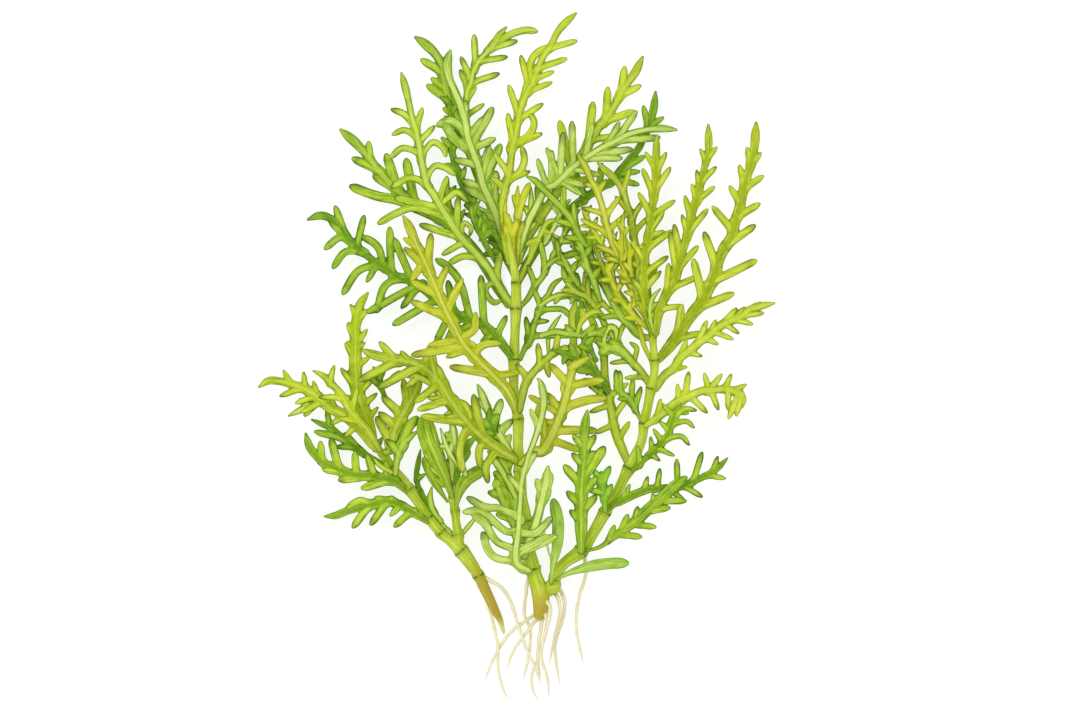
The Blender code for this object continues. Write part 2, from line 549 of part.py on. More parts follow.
def make_leaf(name, leaf, pile):
    """A thin sheet inside the outline, laid over the pile, and Solidify for its thickness."""
    colour, arch, rib_points, lobe_points = leaf
    courses = leaf_courses(name, rib_points, lobe_points)
    distance, along, across = pile.distance(courses)
    sheet, need = pile.course_over(distance, LEAF_SLOPE)
    length = arc_lengths(courses[0])[-1]
    foot = courses[0][0]
    foot_height = max(float(pile.sample(need, foot[0], foot[1])), 0.0)
    from_foot = np.hypot(pile.grid_x - foot[0], pile.grid_y - foot[1])
    sheet = np.maximum(np.minimum(sheet, foot_height + STALK_SLOPE * from_foot), np.maximum(need, 0.0))
    share = np.clip(along / length, 0.0, 1.0)
    lift = 0.001 * arch * np.sin(math.pi * share) ** 1.5 + KEEL * across * np.clip(share * 6.0, 0.0, 1.0)
    bottom = sheet + np.where(distance < 3 * SPREAD, lift, 0.0)
    outline = leaf_outline(courses)
    mesh = bpy.data.meshes.new(name)
    flat = bmesh.new()
    border = [flat.verts.new((x, y, 0.0)) for x, y in outline]
    face = flat.faces.new(border)
    bmesh.ops.triangulate(flat, faces=[face], quad_method="BEAUTY", ngon_method="BEAUTY")
    bmesh.ops.recalc_face_normals(flat, faces=flat.faces)
    if sum(face.normal.z for face in flat.faces) < 0:
        bmesh.ops.reverse_faces(flat, faces=flat.faces)
    for vertex in flat.verts:
        vertex.co.z = float(pile.sample(bottom, vertex.co.x, vertex.co.y))
    flat.to_mesh(mesh)
    flat.free()
    made = add_object(name, mesh, colour)
    thick = made.modifiers.new("thickness", "SOLIDIFY")
    thick.thickness = LEAF_THICKNESS
    thick.offset = 1.0
    pile.add(distance, bottom + LEAF_THICKNESS)


def main():
    for thing in list(bpy.data.objects):
        bpy.data.objects.remove(thing)
    pile = Pile()
    for name, leaf in LEAVES_UNDER_STEMS.items():
        make_leaf(name, leaf, pile)
    stems = lay_stems(pile)
    make_stems(stems)
    make_roots(pile, stems)
    for course in stems.values():
        distance, along, _ = pile.distance([course[:, [0, 1, 3]]])
        upper = np.interp(along, arc_lengths(course), course[:, 2] + 0.5 * course[:, 3])
        pile.add(distance, upper)
    for name, leaf in LEAVES_OVER_STEMS.items():
        make_leaf(name, leaf, pile)


main()
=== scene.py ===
"""Water wisteria, picked and laid on a pale surface: the looks of its stems, leaves and roots.

Metres, +Z up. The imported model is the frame: each leaf, stem and root of it gets a finer piece, which has its
plan from the same traced points as the model and its height from the model's own node.
"""
import math

import bpy
import numpy as np
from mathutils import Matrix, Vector


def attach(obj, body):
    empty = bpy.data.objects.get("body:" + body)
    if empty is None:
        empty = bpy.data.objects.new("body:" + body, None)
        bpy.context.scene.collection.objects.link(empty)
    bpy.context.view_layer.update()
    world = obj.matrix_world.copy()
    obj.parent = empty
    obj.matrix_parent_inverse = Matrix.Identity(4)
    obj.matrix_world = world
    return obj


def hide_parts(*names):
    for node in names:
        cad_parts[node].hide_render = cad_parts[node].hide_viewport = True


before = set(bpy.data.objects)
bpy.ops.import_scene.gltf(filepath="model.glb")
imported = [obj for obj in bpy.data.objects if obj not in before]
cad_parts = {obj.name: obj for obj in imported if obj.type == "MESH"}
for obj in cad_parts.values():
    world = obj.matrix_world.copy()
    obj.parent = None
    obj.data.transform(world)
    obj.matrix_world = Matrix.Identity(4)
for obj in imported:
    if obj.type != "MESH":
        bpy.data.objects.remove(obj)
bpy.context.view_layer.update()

bl_info = {
    "name": "Water Wisteria",
    "version": (1, 0, 0),
    "blender": (4, 5, 0),
    "location": "3D View > Sidebar > Wisteria",
    "description": "Builds the leaves, stems and roots of a picked water plant around its packed model",
    "category": "Add Mesh",
}

FINISH_SHARES = ("across", "rib", "tip", "lobe", "own", "foot")
MM = 0.001
POINT = 0.0004               # one point of the traced plan
CENTRE_X = 516.965           # the plan's point that the plant's origin lies under
CENTRE_Y = 356.61
PICTURE_CENTRE = (540.5, 360.0)
PICTURE_WIDTH = 1081
NEARBY = 2.4 * MM            # how far from its skin a limb still counts
BLADE_RIB = 0.20             # the midrib of a broad blade, as a share of its width

# Stems: points of the plan as x, y and width, from the foot to the tip, and the y of each node ring
STEMS = {
    "centre_stem": ("540,620,12 541,603,16 540,592,17 534,574,14 532,568,17 530,554,12 527,536,11 526,521,13 "
                    "522,497,10 520,471,12 518,445,10 518,420,11 514,390,9 514,359,11 515,334,9 516,309,11 "
                    "516,283,9 514,268,8 510,248,6 508,232,4",
                    "570 521 471 419 359 309 283"),
    "right_stem": ("545,594,11 553,586,14 556,574,12 566,562,11 581,551,14 592,535,11 605,512,12 615,496,10 "
                   "623,480,10 629,468,12 641,442,9 644,423,10 648,404,9 651,388,10 654,373,8 654,360,9 "
                   "653,346,7 652,336,8",
                   "586 551 512 468 423 388 360 338"),
    "left_stem": ("504,635,3 500,621,6 494,609,9 487,594,10 479,577,11 470,563,13 461,551,14 450,541,10 "
                  "441,533,11 429,518,11 418,503,9 408,488,11 395,472,10 386,459,9 378,449,8",
                  "576 551 533 518 490 467"),
    "side_stem": ("462,553,10 459,544,10 458,535,11 456,522,8 455,511,9 453,503,8 450,494,6",
                  "534 511"),
}

# The y at which each stem begins to turn brown
BROWN_FROM = {"left_stem": 552}

# Buds: the stem each one sits on, and points of the plan as x, y and width
BUDS = {
    "crown_bud": ("right_stem", "546,589,9 549,588,13 553,587,14 557,586,13 560,585,9"),
}

# Roots: points of the plan from the stem to the free end
ROOTS = {
    "root_behind": "528,552 541,536 543,528 546,541 551,562 553,571",
    "root_left_of_foot": "534,570 528,580 526,596 524,615 530,631 530,649 523,681",
    "root_right_node": "582,551 585,560 586,576 580,594 577,614 577,635 580,650 584,665",
    "root_right_long": "554,588 561,592 565,604 562,622 556,643 556,664 560,685",
    "root_right_short": "551,590 558,598 560,612 557,628 554,644 549,664",
    "root_foot_left_far": "541,612 531,618 515,629 502,645 492,662 485,681",
    "root_foot_left_near": "541,615 533,624 523,638 513,653 506,670",
    "root_foot_middle": "541,617 541,626 539,643 538,662 540,684",
    "root_foot_right": "543,610 547,622 545,636 539,654 533,672 532,687 537,702",
    "root_foot_outer": "543,600 550,606 549,620 543,640 542,658 547,677 549,699",
    "root_left_outer": "482,577 478,584 485,599 492,620 497,643 498,668 502,687 507,701",
    "root_left_inner": "480,576 490,581 502,589 512,605 518,626 525,645 533,662 540,683",
}

# Leaves: colour, how full its lobes are, its midrib from the stalk to the tip, and its lobes, each from the
# midrib to the lobe's own tip, with a point between them where the lobe bends
LEAVES = {
    "centre_leaf_back_tall": ("mid", 1.3,
        "508,246 497,215 484,188 473,160 462,128 457,119 451,106 446,90 443,75 442,65 435,53 425,43 "
        "415,36",
        "440,74 422,59; 443,88 432,78; 448,101 428,85; 455,114 444,108; 443,75 449,52"),
    "centre_leaf_forked": ("fresh", 1.0,
        "505,236 484,190 471,144 466,121 466,104 467,91 471,81 473,71 478,61 487,51 494,43 499,34 506,26",
        "491,50 516,40; 480,62 506,56; 472,83 498,73; 471,101 475,87; 474,115 483,104; "
        "494,43 511,33 525,29 536,30; 473,65 474,35; 468,81 461,57; 464,88 460,70"),
    "centre_leaf_left_behind": ("mid", 1.3,
        "508,304 478,255 450,226 420,207 396,189 385,178 375,166 369,158 356,143 340,129",
        "371,158 368,142; 376,172 353,158; 401,189 386,155; 421,195 406,160; "
        "441,218 422,211 398,200 375,195 351,186; 396,189 374,176"),
    "centre_leaf_pale_tall": ("tall", 1.25,
        "514,268 512,258 505,245 500,227 495,212 489,198 483,185 479,168 474,155 468,138 465,121 460,104 "
        "455,92 449,78 447,64 450,50",
        "466,136 452,121 438,125; 468,152 455,139 443,121; 472,156 449,136; 475,167 456,160; 482,189 463,181; "
        "485,203 465,188; 494,220 466,205; 496,231 481,221; 474,137 484,118; 485,142 492,109; "
        "476,149 494,139; 481,182 489,148; 486,185 500,146; 494,208 496,173; 489,198 489,184; "
        "466,121 466,102"),
    "centre_leaf_dark_high": ("dark", 1.05,
        "517,284 533,254 560,218 590,194 605,185 611,183 618,175 624,166 631,157 640,146 646,131 650,124 "
        "654,108 656,91",
        "644,124 644,106; 654,130 663,117; 623,170 644,156; 623,177 639,171; 615,179 638,184; "
        "600,190 602,164; 585,198 576,172"),
    "centre_leaf_yellow_high": ("lime", 1.14,
        "514,268 528,236 552,200 585,149 592,139 599,127 608,116 616,103 623,89 635,72 643,56",
        "620,94 625,67; 603,118 608,88; 582,141 593,103; 569,171 560,122; 622,98 640,85; 606,126 633,111; "
        "592,139 616,136; 560,187 590,178; 540,218 538,184"),
    "centre_leaf_right_pale": ("pale", 1.0,
        "518,258 520,247 524,233 530,218 538,203 545,189 554,185 562,178 571,169 581,161 590,155 601,148 "
        "615,141 629,134 644,130 661,128 677,129",
        "615,139 636,112; 603,139 619,123; 581,154 592,125; 569,164 572,123; 556,179 563,134; "
        "547,176 552,152; 543,181 538,160; 548,168 547,149; 615,141 659,137; 590,157 631,149; "
        "586,161 621,158; 575,172 599,175; 562,181 587,186; 561,182 581,194"),
    "centre_leaf_twisted": ("lime", 1.02,
        "509,262 503,218 503,203 505,189 509,175 511,160 512,149 516,136 518,121 521,107 527,92 533,81 "
        "538,68 543,56 550,46 557,32 565,22 576,12",
        "551,48 576,40; 541,69 566,58; 542,83 553,71; 535,95 551,82; 521,121 542,104; "
        "517,146 526,138 533,129 534,121 530,114; 518,149 541,134; 510,182 519,173 524,163 524,155 522,148; "
        "511,182 529,172; 531,80 530,67 534,55 545,46; 523,85 521,56; 518,101 527,80; 512,116 509,86; "
        "509,145 508,115; 505,174 495,155; 507,190 492,178"),
    "centre_leaf_left_tall": ("fresh", 1.02,
        "516,309 505,296 498,285 489,270 480,258 465,242 456,231 449,220 442,209 434,195 427,185 424,173 "
        "421,158 419,145 416,130 412,118 407,95 401,72",
        "411,129 404,114 392,109; 415,140 405,130 393,134; 418,155 403,148 391,157; "
        "427,186 410,178 392,187; 438,212 396,198; 441,222 416,208 397,213 379,223; 461,238 421,225; "
        "464,243 443,254; 480,262 464,256 449,263; 494,283 487,286 486,293 493,302 500,301; "
        "419,130 422,109; 421,142 434,127; 423,158 432,143 443,148 446,156; "
        "430,181 434,167 445,168 455,175; 444,204 451,196 458,193 468,202; 444,201 447,178; "
        "464,228 458,199; 470,240 462,232 464,223 471,228 470,235; 500,292 497,275 500,254"),
    "centre_leaf_right_arch": ("mid", 0.95,
        "520,307 528,298 535,286 543,276 545,268 558,258 573,254 582,255 589,262",
        "545,268 541,243; 560,257 556,239; 570,255 590,245; 535,286 528,266"),
    "centre_leaf_right_short": ("mid", 0.95,
        "520,359 525,348 531,338 535,322 541,309 548,295 554,284 564,277",
        "550,301 570,296; 545,313 561,309 571,317; 534,338 571,335; 541,309 534,289; 535,322 548,321; "
        "529,342 526,318"),
    "right_leaf_inner_low": ("lime", 1.0,
        "630,468 622,448 616,433 612,413 608,394 605,377 604,356 600,342 594,325 589,310",
        "609,397 588,384; 608,406 591,412; 612,426 596,433; 612,397 627,384; 615,418 626,400; "
        "618,441 629,423; 604,356 614,340; 600,342 586,336"),
    "right_leaf_inner_high": ("olive", 0.9,
        "651,388 645,377 639,369 632,362 624,355 619,344 612,335 605,325 601,316 589,299 575,291 566,279 "
        "562,264",
        "645,377 626,378; 638,360 637,349 631,343; 626,366 611,363; 616,342 625,322; 601,316 586,314; "
        "589,299 588,278; 575,291 562,290"),
    "right_leaf_inner_long": ("mid", 1.0,
        "652,338 641,336 631,326 621,316 614,304 608,291 601,278 594,264 589,253 582,240 576,229 571,219 "
        "563,209 553,199 543,189 535,181 527,177",
        "604,282 588,275; 594,264 576,257; 582,240 564,237; 574,225 557,221; 608,291 606,269; "
        "589,253 590,231; 576,229 574,204; 563,209 564,188; 621,316 602,317; 618,313 613,290 611,269; "
        "634,331 626,312 619,296; 618,314 609,310"),
    "right_leaf_dark": ("olive", 1.0,
        "652,335 649,310 645,270 641,258 636,245 633,230 631,216 627,204 623,191 615,179 605,170 598,163",
        "627,188 630,169; 633,219 643,201; 639,232 648,217; 628,213 616,197; 645,262 630,248; "
        "647,285 657,266"),
    "right_leaf_orange": ("gold", 0.95,
        "653,337 650,325 645,314 635,299 635,281 624,264 618,254 612,242 608,229 605,218 601,203 596,189 "
        "591,180 585,166 578,155",
        "605,219 619,198; 610,231 628,213; 597,192 606,180; 595,188 584,184; 621,262 604,258; 601,216 583,208; 609,235 582,220; 616,257 595,245; "
        "624,264 636,244; 635,281 617,277; 635,299 647,279"),
    "right_leaf_upright": ("reed", 1.02,
        "654,336 650,321 646,304 644,287 644,271 645,255 648,238 650,225 652,211 653,200 655,188 656,175 "
        "656,165 657,135",
        "655,171 646,153; 653,196 643,170; 651,217 639,194; 659,173 666,153; 658,193 670,168; "
        "654,218 674,201; 655,235 663,213; 651,238 663,231; 650,252 671,231; 646,275 667,257; "
        "646,290 660,272; 645,262 632,242; 646,296 632,279"),
    "right_leaf_upper": ("reed", 1.02,
        "656,333 658,316 664,298 672,286 676,273 680,258 685,243 689,229 693,211 697,199 700,186 703,175 "
        "706,162 709,149 709,124",
        "706,161 701,149; 702,188 697,171; 697,201 692,185; 692,221 685,197; 686,234 682,216; "
        "680,258 674,226; 675,273 670,234; 665,293 668,265; 710,160 717,147; 704,183 716,167; "
        "700,205 714,187; 690,234 707,210; 680,272 697,247; 675,294 699,276; 660,310 682,306"),
    "right_leaf_outer": ("reed", 1.2,
        "655,360 659,359 666,351 674,341 687,321 696,309 704,297 710,285 715,271 719,259 726,245 732,234 "
        "738,211 742,199 745,184 749,172 752,161 755,148 757,122",
        "750,165 748,148; 745,185 740,166; 739,205 730,187; 729,232 713,208; 715,268 704,234; "
        "701,300 693,261; 678,338 681,306; 752,165 761,153; 747,190 763,176; 737,218 759,204; "
        "728,248 754,226; 716,284 755,261; 700,312 732,294; 680,342 701,333"),
    "right_leaf_level": ("bright", 1.0,
        "652,389 656,389 664,376 674,368 680,358 689,351 698,343 708,336 717,328 728,322 740,317 749,310 "
        "761,306 775,303",
        "744,314 760,303; 731,318 744,308; 720,327 736,309; 708,336 715,321; 696,344 706,322; "
        "677,360 686,341; 742,315 763,313; 735,320 752,324; 726,326 738,333; 716,335 732,339; "
        "705,340 717,344; 688,353 701,356; 673,369 686,367"),
    "left_leaf_upright": ("lime", 1.15,
        "375,449 365,416 360,402 356,386 355,368 355,350 355,332 356,315 360,303 367,293",
        "357,390 341,369; 355,360 345,344; 355,340 347,325; 355,345 366,330; 356,325 366,310; "
        "355,368 369,357; 358,395 372,380; 362,408 376,394; 361,404 344,396; 356,315 350,305; 355,332 348,323; 355,350 347,342; 356,376 348,372; 355,350 364,343; 356,318 362,309; "
        "358,388 366,378; 364,416 357,408; 366,420 377,408; 370,432 362,427"),
    "left_leaf_dark": ("dark", 1.0,
        "395,472 380,464 365,455 355,448 345,440 338,434 330,428 320,424 311,420",
        "345,440 315,432; 330,428 326,411; 353,450 336,447; 362,453 345,434"),
    "side_leaf_blade": ("fresh", 1.0,
        "447,502 438,488 430,473 424,458",
        ""),
    "left_leaf_lowest": ("veined", 1.2,
        "427,521 415,514 401,505 385,501 375,504 360,508 345,512 335,516 324,517",
        "371,507 353,527; 388,505 371,524; 411,512 395,526; 400,509 391,515; 372,505 360,501 347,508; "
        "395,503 376,498"),
    "left_leaf_low": ("veined", 1.25,
        "406,490 394,481 379,477 365,475 351,474 336,468 324,463 318,459 309,447 305,434",
        "322,462 320,443; 340,470 331,440; 358,475 355,453; 375,478 368,456; 345,475 324,470; "
        "370,479 340,480; 390,484 363,488; 388,481 386,462"),
    "left_leaf_middle": ("lime", 1.08,
        "378,449 372,445 365,434 356,424 344,415 329,407 315,395 302,388 290,384 277,381 267,381 258,387",
        "290,384 283,371; 306,390 303,373; 319,397 313,382; 302,388 280,396; 317,397 296,403; "
        "322,401 302,412; 346,417 331,424; 357,426 345,437; 336,411 330,395; 350,420 348,400"),
    "left_leaf_yellow": ("lime", 1.05,
        "380,449 368,430 352,412 342,395 330,382 322,375 313,371",
        "352,412 358,389; 342,400 320,397; 330,382 334,366; 360,420 340,418"),
    "left_leaf_inner": ("olive", 1.4,
        "387,452 390,449 395,431 402,416 410,402 417,388 420,370",
        "402,416 384,397; 408,405 404,381; 412,398 410,384; "
        "391,444 378,418; 399,428 381,413"),
    "side_leaf_broad": ("fresh", 1.0,
        "452,497 447,482 438,460 430,440 424,418",
        "438,474 431,467; 431,460 425,452; 427,450 422,441; 424,440 419,430; 443,485 436,478"),
    "side_leaf_right": ("fresh", 1.0,
        "456,508 460,490 466,480 474,474 484,469",
        ""),
    "centre_leaf_dark_left": ("dark", 1.08,
        "512,358 503,345 490,330 475,322 455,315 441,304 430,295 415,283 400,278 385,268 370,258 357,247 "
        "347,238 340,225 330,218 319,215 307,219",
        "347,235 335,207; 358,245 364,217; 383,266 380,251 374,243 363,237; 395,268 390,229; 413,280 395,240; "
        "486,322 481,277; 357,242 340,237 325,248; 362,252 345,252 333,267; 380,265 358,271 343,293; "
        "376,268 367,281; 400,278 384,287 377,311; 415,288 368,312; 420,287 402,307; 435,303 394,324; "
        "450,314 436,342; 460,317 446,343; 475,322 456,332; 497,330 482,341; 497,338 506,317; "
        "347,238 330,222; 472,320 467,306 463,291 457,277 447,266 437,260; 455,315 451,298 448,282"),
    "centre_leaf_low_left": ("olive", 1.25,
        "519,462 510,456 500,450 480,435 462,415 450,398 440,382 425,368 410,362 395,360 375,355 363,350",
        "397,361 381,343; 410,362 402,352; 425,368 431,345; 453,400 438,367; 470,430 456,400; "
        "483,437 474,396; 418,395 431,347; 420,368 381,387; 400,361 361,380; 441,384 417,401; "
        "448,402 420,409; 468,423 424,416; 462,415 442,419; 470,428 463,438 460,452 463,470; "
        "487,443 481,446 479,455 481,467; 493,456 488,462 486,470 488,481; 470,427 470,413 464,404 457,402"),
    "centre_leaf_yellow_left": ("gold", 1.25,
        "517,412 508,392 495,377 478,360 465,345 455,328 445,308 435,285 425,262 415,240 410,228 404,217",
        "418,248 405,239; 425,272 406,249; 435,300 413,282; 445,322 413,302; 460,350 414,355; "
        "455,345 431,345; 462,355 448,357; 490,377 452,367; 428,268 431,235; 440,290 447,267; "
        "447,312 462,280; 460,338 474,330 476,314; 475,355 484,345 501,343; 495,377 520,372; "
        "425,262 412,280"),
    "centre_leaf_arch_right": ("olive", 1.1,
        "520,410 525,385 532,374 540,365 548,358 555,352 575,350 590,362 600,377",
        "528,380 517,365; 540,365 538,345; 575,350 591,345; 566,350 569,367; 555,352 558,334; "
        "585,357 587,374; 545,360 549,376"),
    "centre_leaf_yellow_right": ("gold", 1.3,
        "521,463 534,452 543,450 552,434 559,418 564,403 568,388 571,374 575,360",
        "560,434 595,430; 556,444 580,450; 570,412 587,400 605,398; 573,386 602,380; 566,386 551,365; "
        "560,412 548,394; 555,425 546,420; 538,407 530,396; 545,443 538,407; 574,366 588,358"),
    "right_leaf_drooping": ("bright", 1.1,
        "646,425 655,419 666,410 678,401 689,396 701,391 712,390 724,389 733,391 740,395 744,400 743,407",
        "678,399 677,385; 682,396 688,373; 708,388 704,374; 708,388 721,375; 724,386 731,375; "
        "733,389 746,385; 666,410 687,413; 691,398 706,412; 711,393 718,409; 727,392 728,409; "
        "735,400 729,418; 741,397 737,415; 657,418 660,400"),
    "right_leaf_curled": ("veined", 1.0,
        "633,470 644,459 656,448 666,436 671,423 675,411 680,404",
        "671,415 662,404; 668,431 659,421; 660,442 653,429; 652,452 650,437; 672,420 682,409 695,410; "
        "675,426 685,421 693,427; 666,440 680,436 688,444; 657,449 673,455; 650,454 659,460; "
        "640,463 637,446"),
    "right_leaf_low": ("veined", 0.95,
        "605,510 614,504 622,500 639,492 652,488 664,488 676,487 690,482 706,475 718,467 727,458",
        "643,491 647,477; 657,489 659,469; 675,487 676,460; 692,482 701,453; 706,476 724,478; "
        "682,487 701,496; 667,489 684,501; 622,500 629,485; 712,471 717,457"),
    "right_leaf_low_toothed": ("mid", 1.15,
        "584,551 599,547 612,538 625,528 637,519 648,508 662,496 675,484 686,476",
        "608,541 614,526; 620,533 627,515; 634,521 637,507; 620,534 640,536; 636,524 654,526; "
        "650,510 668,507; 662,500 684,500; 655,503 652,494"),
    "right_leaf_toothed": ("mid", 1.3,
        "581,550 581,534 581,515 581,496 582,477 584,457 584,438 585,424 587,411",
        "581,486 565,466; 583,465 573,454; 581,507 568,492; 581,521 571,511; 584,448 574,436; "
        "584,452 594,436; 583,480 603,448; 581,512 595,496; 583,468 593,452; 582,497 595,478"),
    "right_leaf_blade_level": ("blade", 1.0,
        "556,580 566,574 576,570 594,565 612,563 628,563",
        ""),
    "right_leaf_blade_upright": ("blade", 1.0,
        "551,583 553,565 557,545 558,524 556,511 553,499",
        ""),
    "centre_leaf_front": ("pale", 1.08,
        "528,570 517,563 516,548 518,534 520,505 522,480 528,457 535,438 541,419 544,400 541,383 538,379",
        "539,426 531,410; 518,517 500,508 485,506 469,497; 516,531 505,530 482,511 465,511; "
        "516,550 497,541 485,523 474,515; 516,561 497,558 488,549 483,533; 519,532 536,532 551,517; "
        "516,555 556,535; 530,552 549,535; 516,563 522,570 531,571; 521,490 508,474; 524,470 536,452"),
}

# Broad blades, and their widths in millimetres
BLADES = {
    "right_leaf_low_toothed": 4.6,
    "side_leaf_broad": 7.6,
    "side_leaf_blade": 3.9,
    "side_leaf_right": 5.4,
    "right_leaf_blade_level": 4.6,
    "right_leaf_blade_upright": 4.8,
}

# Leaves whose midrib is wider or narrower than most, as a share of the usual width
RIB_SHARES = {
    "left_leaf_middle": 1.35,
    "left_leaf_yellow": 1.3,
    "left_leaf_inner": 1.4,
    "centre_leaf_low_left": 1.2,
    "centre_leaf_yellow_left": 1.15,
    "right_leaf_toothed": 1.3,
    "right_leaf_outer": 1.15,
    "right_leaf_upright": 1.05,
    "left_leaf_upright": 1.5,
    "centre_leaf_front": 0.72,
    "centre_leaf_dark_left": 0.92,
    "centre_leaf_forked": 0.85,
    "centre_leaf_twisted": 0.92,
    "right_leaf_low": 1.15,
    "right_leaf_inner_low": 1.1,
    "centre_leaf_yellow_right": 1.25,
    "right_leaf_level": 1.1,
    "right_leaf_drooping": 1.15,
    "centre_leaf_left_tall": 1.1,
}

# Leaves that lie a little above their node's own height, in millimetres
LIFTS = {
    "side_leaf_blade": 2.4,
    "side_leaf_right": 1.2,
}

# Leaves whose pale stripe is narrow, and how much of the midrib it takes up
STRIPE_SHARES = {
    "right_leaf_toothed": 0.4,
    "centre_leaf_yellow_left": 0.55,
    "left_leaf_upright": 0.35,
    "left_leaf_middle": 0.6,
    "left_leaf_yellow": 0.6,
    "left_leaf_inner": 0.6,
    "centre_leaf_low_left": 0.6,
}

# Leaves whose lobes narrow to a point, and by how much: 0 for parallel sides, 1 for a long point
LOBE_POINTS = {
    "right_leaf_outer": 0.45,
    "right_leaf_upper": 0.45,
    "right_leaf_upright": 0.45,
    "right_leaf_orange": 0.5,
    "right_leaf_dark": 0.5,
    "right_leaf_level": 0.4,
    "right_leaf_drooping": 0.5,
    "right_leaf_curled": 0.6,
    "right_leaf_toothed": 0.1,
    "centre_leaf_yellow_left": 0.55,
    "centre_leaf_yellow_right": 0.5,
    "centre_leaf_low_left": 0.5,
    "centre_leaf_twisted": 0.4,
    "left_leaf_middle": 0.55,
    "left_leaf_yellow": 0.6,
    "left_leaf_upright": 0.7,
    "left_leaf_inner": 0.5,
}

